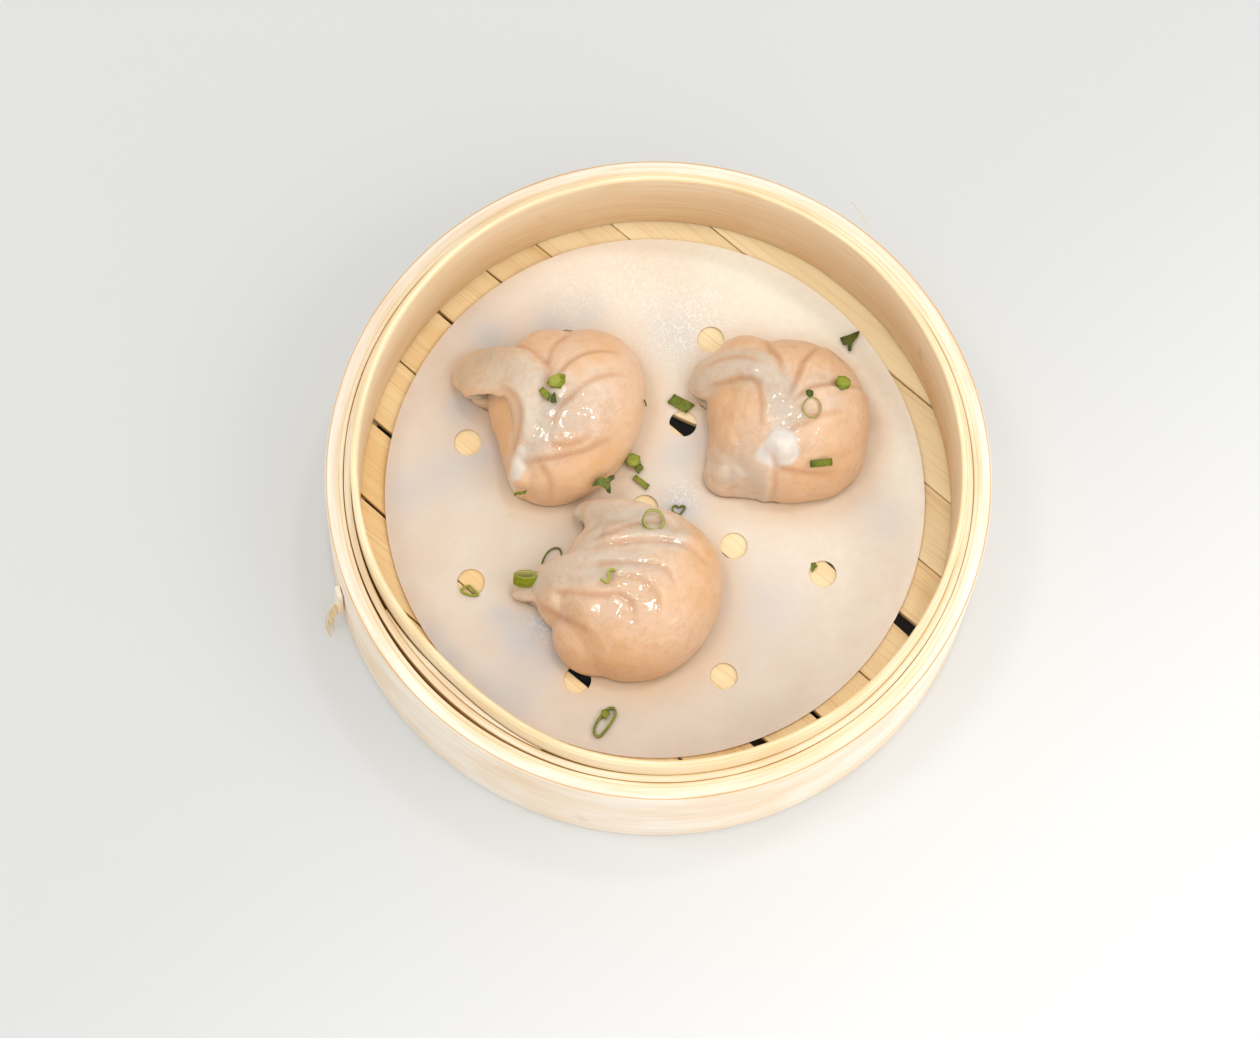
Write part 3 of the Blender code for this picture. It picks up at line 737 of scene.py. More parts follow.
# %% Second recipe
DUMPLINGS["dumpling_2"] = {
    "lobes": (
        (34.8, 24, 8.5, 21.6, 22.6, 13.8, 0), (24.4, 19.5, 7, 11.8, 14.5, 11.4, 0),
        (21.5, 37.2, 8, 10.5, 9.6, 9.8, 0), (20.8, 13, 5, 8.2, 10, 9.4, 0),
        (19.5, 26, 6.5, 8.2, 10.5, 10.2, 0), (18.8, 7.8, 4, 6.6, 5.6, 8.6, 0),
        (22.4, 8, 4.6, 6.6, 5.6, 9.2, 0), (26, 8.4, 5.2, 7.2, 6, 9.4, 0),
        (41, 18, 7.5, 15, 15, 11, 0), (32.6, 14.6, 16.6, 6.2, 5.8, 5.6, 20),
    ),
    "crests": (
        ((6.9, 31, 5.6, 3.4, 1.9, 15), (9.8, 32.6, 8.6, 6.2, 2.7, 15),
         (15, 35.4, 13, 5.4, 2.8, 12), (21.5, 35.9, 16.8, 5, 3, 5),
         (27.6, 33.4, 18.6, 4.8, 3.2, -2), (31, 26, 19.2, 4.8, 3.2, -8),
         (32.4, 18, 18.4, 4.6, 3, -10), (31, 11, 15.2, 4.6, 2.6, -10)),
    ),
    "lips": (
        (0.8, 0.2, 5, 1, (8, 28), (11.5, 30.4), (14.8, 31.2), (20.5, 32), (24.4, 30.4),
         (25.8, 26), (26.6, 18.3), (25, 10)),
        (1.1, 0.35, 6, 1, (31.2, -0.5), (31.2, 4.5), (30.8, 8), (29, 12)),
        (0.8, 0.25, 7, 1, (29, 8.2), (33.5, 7.6), (37.9, 7.3), (43.3, 7.7), (52, 11)),
        (1.6, 0.6, 9, -1, (33, 23), (38.3, 28.4), (44.6, 31.1), (49.5, 32.3), (58, 33.4)),
        (1.5, 0.55, 9, -1, (32.5, 24), (35, 31), (36.4, 36.5), (38.6, 40.5), (43.5, 47)),
        (0.5, 0.15, 6, -1, (33, 16.6), (37, 18.4), (42.2, 21.6), (50, 25)),
        (0.7, 0.25, 5, 1, (25, 47), (27, 42.6), (30, 37.5), (31.5, 31)),
        (0.5, 0.15, 4, -1, (8, 34.2), (14, 36.4), (19.5, 36.8), (26.5, 34.6)),
    ),
    "pale": (
        (20.6, 6.3, 5.5, 0.8), (27.5, 3.3, 4.5, 0.8), (15.4, 8.7, 4.5, 0.7),
        (39.5, 31.3, 3.5, 0.6), (45.3, 26.2, 3, 0.5), (35, 22.5, 4, 0.6)),
    "white": (
        (32.2, 13.6, 4.2, 1), (31, 9.8, 3.6, 0.9), (35.2, 11, 2.6, 0.8), (28.6, 10.6, 3, 0.9),
        (32.5, 11.5, 3.4, 0.9)),
    "warm_and_shade": (
        (14.8, 26.7, 5.5, 0.9), (16.3, 16.8, 5.5, 0.75), (22, 24, 5, 0.5), (17.6, 12.1, 4, 0.4),
        (35.5, 4.7, 6, 0.55), (43.4, 6.1, 7, 0.6), (49.8, 10.7, 6, 0.6), (20.1, 41, 6, 0.6),
        # The marks at (36, 33.8) and (38.8, 29) are painted shade in a groove.
        (31, 40.2, 5, 0.45), (41.4, 40.1, 5, 0.6), (36, 33.8, 2.6, 0.7), (38.8, 29, 2.4, 0.4),
        (37.1, 18.4, 3, 0.7), (46.2, 16.1, 6, 0.35), (49.7, 23.4, 6, 0.3)),
    "wet": (
        (39.4, 12.7, 2.6, 1), (29.9, 26.1, 4, 0.8), (22, 33, 4, 0.7), (35, 19, 3.5, 0.7),
        (31, 31, 3.5, 0.5), (21, 12, 4, 0.4)),
}
print("recipes:", len(DUMPLINGS))

# %% [markdown]
# The third has two pinched beaks at its left and a row of pleats that fan out from them.

# %% Third recipe
DUMPLINGS["dumpling_3"] = {
    "lobes": (
        (-2, -29.5, 8.5, 21.8, 24.4, 13.8, -25), (5, -19, 8, 13.5, 11, 10.5, -14),
        (-13.2, -41.4, 7, 11.6, 11.2, 8.5, -30), (-13.4, -22, 8.5, 9.4, 12, 9.5, -20),
        (-22.6, -33, 5.5, 9.8, 7, 8, -50),
    ),
    "crests": (
        ((-21.4, -7.2, 5.4, 2.4, 1.3, 0), (-17, -7.8, 9.6, 4.4, 1.6, 0),
         (-10, -10, 14, 6, 1.9, 0), (-2, -12.4, 16.2, 6.2, 2.2, 0), (6, -15, 16, 5.6, 2.4, 0)),
        ((-35.8, -31.6, 2.2, 2, 1.6, 10), (-31.5, -30, 6, 4.2, 2.2, 12),
         (-25.5, -28, 12.2, 5.4, 2, 8), (-17, -26, 16.6, 6, 2.4, 4),
         (-8, -25, 18.6, 5.4, 2.6, 0)),
        ((-17, -9, 9, 3, 1.6, 0), (-15, -15, 12.6, 4, 2.2, 0), (-17.6, -22, 12.6, 4, 2.2, 0)),
    ),
    "lips": (
        (0.7, 0.25, 5, 1, (-19, -18), (-11.1, -15.7), (-6, -13.2), (1, -11), (11, -12)),
        (1.3, 0.5, 6, 1, (-19, -21), (-11.9, -19.4), (-3.4, -17.6), (5.2, -16.8), (12, -18.2),
         (20, -23.5)),
        (0.8, 0.3, 6, 1, (-22, -26), (-13.5, -24.9), (-3.9, -24.2), (2.1, -24.2), (6.4, -27),
         (10.5, -36)),
        (0.7, 0.25, 5, 1, (-14, -29), (-5.7, -28), (-0.1, -29.8), (3.5, -34), (4, -43)),
        (0.8, 0.3, 5, 1, (-28, -31), (-18, -33.2), (-12, -33.8), (-7.3, -33.4), (-3, -36.6),
         (-2.2, -44)),
        (0.8, 0.3, 5, 1, (-31, -34), (-25, -37.2), (-20.5, -39.8), (-12, -45)),
    ),
    "pale": (
        (-14.1, -15.6, 4, 0.8), (-4, -16.7, 4, 0.8), (4.3, -14.3, 3.6, 0.7),
        (-17.7, -8, 5, 0.6), (-10.8, -9.1, 5, 0.5), (-16.3, -23.3, 6, 0.8),
        (-23.8, -27.2, 5, 0.7), (-31.3, -31.3, 5, 0.5), (-3, -23.9, 4, 0.5)),
    "white": ((-13, -12, 3, 0.3),),
    "warm_and_shade": (
        (7.4, -18.4, 3, 0.6), (13.2, -21.5, 4, 0.6), (9.7, -11.7, 4, 0.9),
        (12.3, -13, 3.5, 0.9), (16, -18.6, 4, 0.8), (13.9, -32.2, 6, 0.7), (14.6, -25, 6, 0.6),
        (-5.2, -49.9, 9, 0.6), (1.9, -47.9, 7, 0.5), (-13.4, -48, 7, 0.55),
        (-18.3, -41.4, 4, 0.4), (-15.9, -38.9, 3, 0.5), (3.8, -33.9, 3.5, 0.45),
        (-2.5, -32.2, 5, 0.3)),
    "wet": (
        (-12.3, -16.9, 4, 0.7), (-5.4, -13.3, 4, 0.7), (4.2, -16, 4, 0.8), (-3, -23.9, 4, 0.9),
        (-3, -34.5, 7, 0.8), (-19.7, -38.5, 3.5, 1), (-14.1, -41.2, 3.6, 0.8), (2, -26, 4, 0.7),
        (-14, -10, 3, 0.5)),
}
print("recipes:", len(DUMPLINGS))

# %% [markdown]
# ### Balls and crests
# In edit mode every new ball joins the same mesh, so a whole dumpling is one object.
# A crest is a chain of balls a fraction of a millimetre apart: after the remesh they
# read as one pinched edge.

# %% Balls and crests
BALLS_A_SPAN = 8
PINCHED = 1.6


def add_ball(centre, radii, turn, fineness):
    """One ball of dough, squashed to its radii and turned."""
    bpy.ops.mesh.primitive_ico_sphere_add(
        subdivisions=fineness, radius=1.0,
        location=Vector((centre[0], centre[1], centre[2] + SEAT)) * MM,
        rotation=turn, scale=[radius * MM for radius in radii])


def spline_point(points, share):
    """A point on a Catmull-Rom curve through the given rows of numbers."""
    spans = len(points) - 1
    place = min(share * spans, spans - 1e-9)
    index = int(place)
    t = place - index
    rows = [points[max(0, min(spans, index + shift))] for shift in (-1, 0, 1, 2)]
    return [0.5 * (2 * b + (c - a) * t + (2 * a - 5 * b + 4 * c - d) * t * t
                   + (3 * b - a - 3 * c + d) * t ** 3)
            for a, b, c, d in zip(*rows)]


def add_crest(route):
    """A pinched edge of dough: a chain of flat balls along a route."""
    steps = BALLS_A_SPAN * (len(route) - 1)
    rows = [spline_point(route, step / steps) for step in range(steps + 1)]
    for index, (x, y, z, half_width, half_height, lean) in enumerate(rows):
        before = rows[max(0, index - 1)]
        after = rows[min(steps, index + 1)]
        course = (Vector(after[:3]) - Vector(before[:3])).normalized()
        across = course.cross(Vector((0, 0, 1))).normalized()
        over = across.cross(course).normalized()
        turn = Matrix.Rotation(math.radians(lean), 3, course) @ Matrix(
            (course, across, over)).transposed()
        round_off = math.sqrt(max(0.05, 1.0 - abs(2.0 * index / steps - 1.0) ** 8))
        add_ball((x, y, z), (PINCHED, half_width * round_off, half_height * round_off),
                 turn.to_euler(), 2)

# %% [markdown]
# ### Pleats and marks
# A pleat needs to know where it is: for every point of the skin, how far it is from the
# line, on which side, and how far along. The same distances place the painted marks.

# %% Pleats and marks
LIP_FACETS = 24
LIP_EDGE = 0.5
LIP_FOOT = 0.9


def beside(places, route, hand=1):
    """For each x, y: the distance to a route, signed by its side, and the share along it."""
    line = np.array([spline_point(route, step / LIP_FACETS)[:2]
                     for step in range(LIP_FACETS + 1)])
    starts = line[:-1]
    spans = line[1:] - starts
    away = places[:, None, :] - starts
    share = np.clip((away * spans).sum(2) / (spans ** 2).sum(1), 0.0, 1.0)
    gaps = away - share[:, :, None] * spans
    distance = np.hypot(gaps[:, :, 0], gaps[:, :, 1])
    nearest = distance.argmin(1)
    rows = np.arange(len(places))
    turned = (spans[nearest, 0] * gaps[rows, nearest, 1]
              - spans[nearest, 1] * gaps[rows, nearest, 0])
    aside = np.sign(turned) * distance[rows, nearest] * hand
    return aside, (nearest + share[rows, nearest]) / LIP_FACETS


def lip_height(places, lip):
    """How far a lip lifts the skin, and how deep its valley is, at each x, y."""
    height, foot, fade, hand, *route = lip
    aside, along = beside(places, route, hand)
    ends = ease(along / 0.25) * ease((1.0 - along) / 0.3)
    bell = np.exp(-(np.maximum(aside, 0.0) / fade) ** 2)
    step_up = height * bell / (1.0 + np.exp(-np.clip(aside / LIP_EDGE, -30.0, 30.0)))
    valley = foot * np.exp(-((aside + LIP_FOOT / 2.0) / LIP_FOOT) ** 2)
    return ends * (step_up - valley), ends * valley / max(foot, 0.1)


def spots(places, marks):
    """Soft round marks of x, y, radius and strength, laid over each other."""
    left = np.ones(len(places))
    for x, y, radius, strength in marks:
        distance = np.hypot(places[:, 0] - x, places[:, 1] - y)
        left *= 1.0 - strength * np.exp(-(distance / radius) ** 2)
    return 1.0 - left


# %% [markdown]
# ### Let the dough sag
# Hot dough slumps. The widest part sinks towards the paper, and the foot spreads out
# below what hangs over it. A ray from below finds how far the dough above reaches. The
# skin shifts a little in y as it sinks, to stay on its line of sight.

# %% Let the dough sag
WIDEST = 8.5
SAGGED = 5.0
TOP = 22.3
SPREAD = 0.75
FURTHEST = 5.0
UPRIGHT_ENOUGH = 0.15


def overhang(tree, place, course):
    """How far the dough above reaches out past a point below it."""
    def covered(length):
        spot = place + course * length
        return tree.ray_cast(Vector((spot.x, spot.y, -50.0)), Vector((0.0, 0.0, 1.0)))[0]

    near = 0.0
    while near < FURTHEST and covered(near + 1.0):
        near += 1.0
    for step in (0.5, 0.25, 0.125):
        if covered(near + step):
            near += step
    return near


def sag(dough, places, normals):
    """Spread the foot of the dough and sink its widest part."""
    tree = BVHTree.FromPolygons([tuple(row) for row in places],
                                [tuple(face.vertices) for face in dough.data.polygons])
    above = places[:, 2] - SEAT
    moved = places.copy()
    flat = np.hypot(normals[:, 0], normals[:, 1])
    hanging = (above < WIDEST) & (normals[:, 2] < 0.0) & (flat > UPRIGHT_ENOUGH)
    for index in np.nonzero(hanging)[0]:
        course = Vector((normals[index, 0], normals[index, 1], 0.0)).normalized()
        reach = overhang(tree, Vector(places[index]), course)
        moved[index, :2] += SPREAD * reach * np.array(course[:2])
    low = above * SAGGED / WIDEST
    high = SAGGED + (above - WIDEST) * (TOP - SAGGED) / (TOP - WIDEST)
    sunk = np.where(above < WIDEST, low, high)
    moved[:, 1] += (above - sunk) * math.tan(VIEW_LEAN)
    moved[:, 2] = SEAT + sunk
    return moved


# %% [markdown]
# ### Shape a dumpling
# The steps come together: press the balls into one skin, smooth it, raise the pleats
# along its normals, let it sag, and keep the marks that the material reads.

# %% Shape a dumpling
SKIN_VOXEL = 0.55
SKIN_SMOOTH = 6
LUMPS = (0.32, 5.0)
DIMPLES = (0.15, 2.2)
STRAY = 1.2


def press_dough(name, recipe):
    """One smooth skin from all the lobes and crests of a recipe."""
    put_down()
    for index, (x, y, z, rx, ry, rz, yaw) in enumerate(recipe["lobes"]):
        add_ball((x, y, z), (rx, ry, rz), (0, 0, math.radians(yaw)), 5)
        if index == 0:
            dough = named(name + "_skin")
            settle(dough)
            open_mesh(dough)
    for route in recipe["crests"]:
        add_crest(route)
    apply_modifier(dough, "REMESH", mode="VOXEL", voxel_size=SKIN_VOXEL * MM)
    apply_modifier(dough, "SMOOTH", factor=0.5, iterations=SKIN_SMOOTH)
    return dough


def shape_dumpling(name, recipe):
    """The pleated, sagged and marked skin of one dumpling."""
    dough = press_dough(name, recipe)
    places = places_of(dough)
    normals = np.array([vertex.normal[:] for vertex in dough.data.vertices])
    above = places[:, 2] - SEAT
    pull = np.zeros(len(places))
    crease_shade = np.zeros(len(places))
    for lip in recipe["lips"]:
        lift, valley = lip_height(places[:, :2], lip)
        pull += lift
        crease_shade = np.maximum(crease_shade, valley)
    reach = ease((above - 2.0) / 9.0)
    uneven = (LUMPS[0] * rough_wave(places, LUMPS[1], len(name))
              + DIMPLES[0] * rough_wave(places, DIMPLES[1], 3))
    places += normals * (reach * (pull + uneven))[:, None]
    places[:, 2] = np.maximum(places[:, 2], SEAT)
    move_to(dough, sag(dough, places, normals))
    flat = places[:, :2] + STRAY * np.column_stack(
        [rough_wave(places, 4.0, seed) for seed in (11, 12)])
    crest = np.zeros(len(places))
    for route in recipe["crests"]:
        aside, along = beside(flat, route)
        width = np.array([spline_point(route, share)[3] for share in along])
        crest = np.maximum(crest, np.exp(-(aside / (0.9 * width)) ** 4))
    pale, white, warm_and_shade, wet = [spots(flat, recipe[mark])
                              for mark in ("pale", "white", "warm_and_shade", "wet")]
    paint(dough, "pale", np.maximum(0.85 * crest, pale))
    paint(dough, "white", ease((white - 0.35) / 0.4))
    paint(dough, "wet", wet)
    paint(dough, "warm_and_shade", warm_and_shade * (1.0 - 0.7 * crest))
    # The valley depth is kept for painted shade in the creases.
    paint(dough, "crease_shade", crease_shade * reach)
    return dough

# %% [markdown]
# ### Dumpling skin material
# Wheat starch dough turns glassy when steamed: light goes in and comes out softened, so the
# shader scatters light below the surface. Where the dough is folded double it is pale and over
# the shrimp it is orange. Painted shade darkens the pleats' valleys and deepens a few orange
# marks, and a painted contact shadow darkens the skin where it meets the paper.

# %% Skin material
SHRIMP_ORANGE_AND_SHADE = (0.75, 0.46, 0.235)
PLAIN_DOUGH = (0.77, 0.55, 0.38)
THICK_DOUGH = (0.625, 0.545, 0.435)
DRY_STARCH = (0.75, 0.69, 0.61)
SHRIMP_VEIN = (0.66, 0.40, 0.22)
CREASE_SHADE = (0.64, 0.32, 0.15)
FOOT_SHADOW = (0.30, 0.15, 0.08)

skin_finish, graph, shader = new_material(
    "steamed dough", 0.4, Subsurface_Weight=0.6, Subsurface_Scale=0.004,
    Subsurface_Radius=(1.0, 0.6, 0.4), Coat_Roughness=0.09, IOR=1.4)
place = graph.place()
cloud = graph.noise(place, 260.0, 3.0, 0.55)
speck = graph.noise(place, 1900.0, 3.0, 0.6, distortion=0.8)
mottle = graph.noise(place, 300.0, 2.0, 0.55, distortion=1.5)
# Mostly the shrimp's orange through the dough; a few of these marks are painted shade.
warm_and_shade = graph.times(graph.attribute("warm_and_shade"),
                  graph.spread(cloud, 0.2, 0.7, 0.65, 1.2), clamp=True)
pale = graph.times(graph.attribute("pale"),
                  graph.spread(cloud, 0.75, 0.25, 0.75, 1.1), clamp=True)
# Painted shade: the valley at the foot of each lip is darkened.
crease_shade = graph.times(graph.attribute("crease_shade"), 0.5)
# Painted contact shadow: the skin is darkened just above the paper.
foot = graph.spread(graph.parts(place)[2], (SEAT + 1.8) * MM, (SEAT + 0.2) * MM, 0.0, 0.85)
colour = PLAIN_DOUGH
for share, next_colour in ((warm_and_shade, SHRIMP_ORANGE_AND_SHADE), (pale, THICK_DOUGH),
                           (graph.spread(mottle, 0.45, 0.7, 0.0, 0.4), SHRIMP_VEIN),
                           (graph.attribute("white"), DRY_STARCH), (crease_shade, CREASE_SHADE),
                           (foot, FOOT_SHADOW)):
    colour = graph.mix(share, colour, next_colour)
wet = graph.attribute("wet")
ruffle = graph.times(speck, graph.spread(wet, 0.0, 0.8, 0.2, 1.0))
ripple = graph.bump(cloud, 0.6, 0.3)
fine = graph.bump(graph.noise(place, 2600.0, 2.0, 0.5), 0.5, 0.05, ripple)
graph.feed(shader, Base_Color=colour, Normal=graph.bump(ruffle, 1.0, 0.42, fine),
           Coat_Weight=graph.spread(wet, 0.0, 0.7, 0.12, 0.85),
           Roughness=graph.spread(wet, 0.0, 0.7, 0.42, 0.26))

for name, recipe in DUMPLINGS.items():
    dough = shape_dumpling(name, recipe)
    finish_piece(dough, skin_finish, [name])

# %% [markdown]
# ## Paper liner
# The liner is a disc of waxed paper, punched with thirteen holes. A thin square sheet
# is cut to its outline and punched with boolean cutters, then eased into low waves.

# %% Cut the paper
PAPER_RADIUS = 74.2
PAPER_CENTRE = (-0.4, 1.5)
PAPER_THICKNESS = 0.22
HOLE_CENTRE = (-2.9, -2.6)
HOLE_RADIUS = 3.8
# A ring of holes is how many, how far out, and the direction of the first.
HOLE_RINGS = ((1, 0.0, 0.0), (4, 26.6, 72.0), (8, 52.1, 29.8))
SHEET_CELLS = 76


def add_cutter(x, y, radius, sides):
    """A cylinder that goes right through the paper."""
    bpy.ops.mesh.primitive_cylinder_add(vertices=sides, radius=radius * MM, depth=8.0 * MM,
                                        location=(x * MM, y * MM, PAPER_TOP * MM))


put_down()
bpy.ops.mesh.primitive_grid_add(
    x_subdivisions=SHEET_CELLS, y_subdivisions=SHEET_CELLS, size=2.04 * PAPER_RADIUS * MM,
    location=(PAPER_CENTRE[0] * MM, PAPER_CENTRE[1] * MM,
              (PAPER_TOP - PAPER_THICKNESS) * MM))
paper = named("paper_liner")
settle(paper)
apply_modifier(paper, "SOLIDIFY", thickness=PAPER_THICKNESS * MM, offset=1.0)
put_down()
add_cutter(*PAPER_CENTRE, PAPER_RADIUS, 180)
outline = named("outline")
put_down()
hole_places = []
for count, ring_radius, first_angle in HOLE_RINGS:
    for number in range(count):
        angle = math.radians(first_angle + 360.0 * number / count)
        hole_places.append((HOLE_CENTRE[0] + ring_radius * math.cos(angle),
                            HOLE_CENTRE[1] + ring_radius * math.sin(angle)))
add_cutter(*hole_places[0], HOLE_RADIUS, 36)
punch = named("punch")
settle(punch)
open_mesh(punch)
for x, y in hole_places[1:]:
    add_cutter(x, y, HOLE_RADIUS, 36)
put_down()
apply_modifier(paper, "BOOLEAN", operation="INTERSECT", object=outline, solver="EXACT")
apply_modifier(paper, "BOOLEAN", operation="DIFFERENCE", object=punch, solver="EXACT")
for cutter in (outline, punch):
    bpy.data.objects.remove(cutter, do_unlink=True)
print("holes:", len(hole_places))

# %% [markdown]
# The sheet lies flat where a dumpling presses on it and lifts a little at its edge.
# Three numbers are kept for the material: one high near the dumplings, where the paper is damp
# and a painted orange glow stands for light passing through the dough; one for painted bluish
# shade, where the paper stands clear of the bamboo and under the rim and the ears; and one for
# painted highlights, where the waxed paper catches the light in fine wrinkles.

# %% Ease the paper into waves
# A mark is x, y, radius and strength.
# Painted bluish shade: where the paper stands clear of the bamboo, and under the rim, the ears
# and the dent.
COOL_SHADE_MARKS = (
    (-33, 47, 7, 0.7), (-24, 51, 6, 0.5), (-50, 42, 6, 0.7), (-48, 8, 6, 0.6), (-58, 2, 9, 0.4),
    (-55, 20, 5, 0.6), (-30, -46, 8, 0.8), (-38, -38, 6, 0.6), (8, -1, 6, 0.7), (4, 12, 6, 0.5),
    (62, 2, 9, 0.35), (0, 48, 9, 0.4), (-34, -60, 7, 0.6), (10, 20, 5, 0.5), (5, -2, 4.5, 0.7),
    (-27, -38, 4.5, 0.8), (-22, -46, 4, 0.6), (-57, 22, 3.5, 0.8), (-58, -45, 5, 0.5),
    (-51, -52, 5, 0.6), (-43, -58, 5, 0.5), (-70, -5, 8, 0.4), (31, -27, 13, 0.35))
# Painted highlight: where the waxed paper catches the light.
GLINT_MARKS = (
    (-12, 62, 10, 0.6), (8, 58, 10, 0.7), (-30, 58, 8, 0.4), (2, 48, 9, 0.5), (7, 2, 4, 0.6),
    (-26, -37, 5, 0.5))
WAVES = ((0.16, 24.0, 4), (0.07, 7.0, 6))
CURL = 0.7
CURL_FROM = 0.86
FREE_FROM = 12.0
DAMP_AND_GLOW_REACH = 6.0

skins = search_tree(*[bpy.data.objects[name + "_skin"] for name in DUMPLINGS])
places = places_of(paper)
centred = places[:, :2] - np.array(PAPER_CENTRE)
reach = np.hypot(centred[:, 0], centred[:, 1]) / PAPER_RADIUS
gap = np.array([skins.find_nearest(Vector((x, y, SEAT + 1.0)))[3] for x, y, z in places])
flat = np.column_stack([places[:, :2], np.zeros(len(places))])
wave = sum(height * rough_wave(flat, size, seed) for height, size, seed in WAVES)
edge = ease((reach - CURL_FROM) / (1.0 - CURL_FROM))
curl = CURL * edge * np.clip(rough_wave(flat, 38.0, 8) + 0.2, 0.0, 1.0)
places[:, 2] += ease(gap / FREE_FROM) * (wave + curl)
places[:, 2] = np.maximum(places[:, 2], SLAT_TOP + 0.02)
move_to(paper, places)
# Partly painted light: the damp halo is shifted to one side, as an orange glow of light through
# the dough.
glow = np.array([skins.find_nearest(Vector((x - 2.0, y + 1.0, SEAT + 1.0)))[3]
                 for x, y, z in places])
paint(paper, "damp_and_glow", np.exp(-(glow / DAMP_AND_GLOW_REACH) ** 2))
paint(paper, "cool_shade", spots(places, COOL_SHADE_MARKS))
paint(paper, "glint", spots(places, GLINT_MARKS))
print("paper points:", len(places))

# %% [markdown]
# Waxed paper has a faint satin coat and lets a little light through. Each of the three numbers
# pulls its colour one way, and noise breaks every mark up, so that none has a clean edge. The
# colour is also painted darker and greyer at the near left side and lighter and creamier at the
# far right, as painted shade and light.

# %% Paper material
BLUISH_SHADE = (0.47, 0.48, 0.505)
SOAKED_AND_GLOW = (0.73, 0.50, 0.30)
GLINT_WHITE = (0.96, 0.93, 0.88)
paper_finish, graph, shader = new_material(
    "waxed paper", 0.4, Coat_Weight=0.25, Coat_Roughness=0.25, Subsurface_Weight=0.2,
    Subsurface_Scale=0.001)
place = graph.place()
cloud = graph.noise(place, 90.0, 5.0, 0.6)
mottle = graph.noise(place, 420.0, 4.0, 0.6)
crinkle = graph.noise(place, 1500.0, 3.0, 0.65)
east, north, _ = graph.parts(place)
across = graph.math("MULTIPLY_ADD", east, 1.1, north)
colour = graph.mix(graph.spread(cloud, 0.3, 0.7), (0.86, 0.71, 0.57), (0.91, 0.77, 0.64))
# Painted shade and light: darker and greyer towards the near left, lighter and creamier at the
# far right.
colour = graph.mix(graph.spread(across, 0.05, -0.03), colour, (0.81, 0.80, 0.79), "MULTIPLY")
colour = graph.mix(graph.spread(across, 0.06, 0.095), colour, (1.0, 0.90, 0.77))
# Real damp and a painted orange glow of light through the dough.
damp_and_glow = graph.times(graph.attribute("damp_and_glow"), graph.spread(cloud, 0.2, 0.8, 0.4, 0.9))
# Painted shade in a bluish grey.
cool_shade = graph.times(graph.attribute("cool_shade"), graph.spread(cloud, 0.3, 0.7, 0.6, 1.2),
                  clamp=True)
# Painted highlight, broken up by fine wrinkles.
glint = graph.times(graph.attribute("glint"), graph.spread(crinkle, 0.5, 0.62))
for share, next_colour in ((damp_and_glow, SOAKED_AND_GLOW), (cool_shade, BLUISH_SHADE), (glint, GLINT_WHITE),
                           (graph.spread(mottle, 0.35, 0.7, 0.0, 0.12), (0.70, 0.55, 0.42))):
    colour = graph.mix(share, colour, next_colour)
graph.feed(shader, Base_Color=colour, Roughness=graph.spread(mottle, 0.3, 0.7, 0.3, 0.5),
           Normal=graph.bump(crinkle, 0.4, 0.06, graph.bump(mottle, 0.3, 0.1)))
finish_piece(paper, paper_finish, ["liner"], smooth=40)

# %% [markdown]
# ## Chopped spring onion
# The green is sliced hollow stem and leaf. A slice of stem is a ring: an open cylinder
# given a wall and worn edges, pulled into an oval. A piece of leaf is a thin curved
# strip. Each lies on what is under it: a ray is dropped from above to find it.

# %% Find the ground
paper_tree = search_tree(paper)
UP = Vector((0.0, 0.0, 1.0))


def ground(x, y):
    """The height and slope of what lies under a point: dough, else paper, else slats."""
    above = Vector((x, y, 90.0))
    for tree in (skins, paper_tree):
        hit, normal, _, _ = tree.ray_cast(above, -UP)
        if hit is not None:
            return hit.z, normal
    return SLAT_TOP, UP


def lay_down(piece, x, y, turn, lift, lean=(0.0, 0.0), follow=0.7, against=None):
    """Turn a piece about Z, lean it, and set it on the slope at x, y."""
    height, slope = ground(x, y)
    if against:
        height, slope = against[0], Vector(against[1:])
    slope = UP.lerp(slope, follow).normalized()
    about_x, about_y, about_z = [Matrix.Rotation(math.radians(degrees), 3, axis)
                                 for degrees, axis in zip((*lean, turn), "XYZ")]
    pose = UP.rotation_difference(slope).to_matrix() @ (about_x @ about_y) @ about_z
    place = Vector((x, y, height)) + slope * lift
    piece.matrix_world = Matrix.Translation(place * MM) @ pose.to_4x4()
    settle(piece)

# %% [markdown]
# Three kinds of cut are enough: a ring of stem, a flat piece with its own corners, and a
# thin curl that stands on its edge. All rings become one object, and so do all flat
# pieces and all curls.

# %% Rings, cuts and curls
def onion_ring(x, y, radius, wall, depth, stretch, turn, lean=(0.0, 0.0), follow=0.7,
               lift=None):
    """A slice of hollow stem, pulled into an oval."""
    put_down()
    bpy.ops.mesh.primitive_cylinder_add(vertices=40, radius=radius * MM, depth=depth * MM,
                                        end_fill_type="NOTHING")
    ring = bpy.context.object
    ring.scale = (stretch, 1.0, 1.0)
    settle(ring)
    apply_modifier(ring, "SOLIDIFY", thickness=wall * MM, offset=-1.0)
    wear_edges(ring, 0.12)
    places = places_of(ring)
    out = np.hypot(places[:, 0] / stretch, places[:, 1]) / radius
    paint(ring, "heart", ease((1.0 - out) / (wall / radius)))
    paint(ring, "dark", 0.25)
    wobble = rough_wave(np.column_stack([places[:, :2] * 0.4, np.full(len(places), x)]), 1.0, 7)
    places[:, :2] *= (1.0 + 0.10 * wobble)[:, None]
    move_to(ring, places)
    lay_down(ring, x, y, turn, depth / 2.0 if lift is None else lift, lean, follow)
    return ring


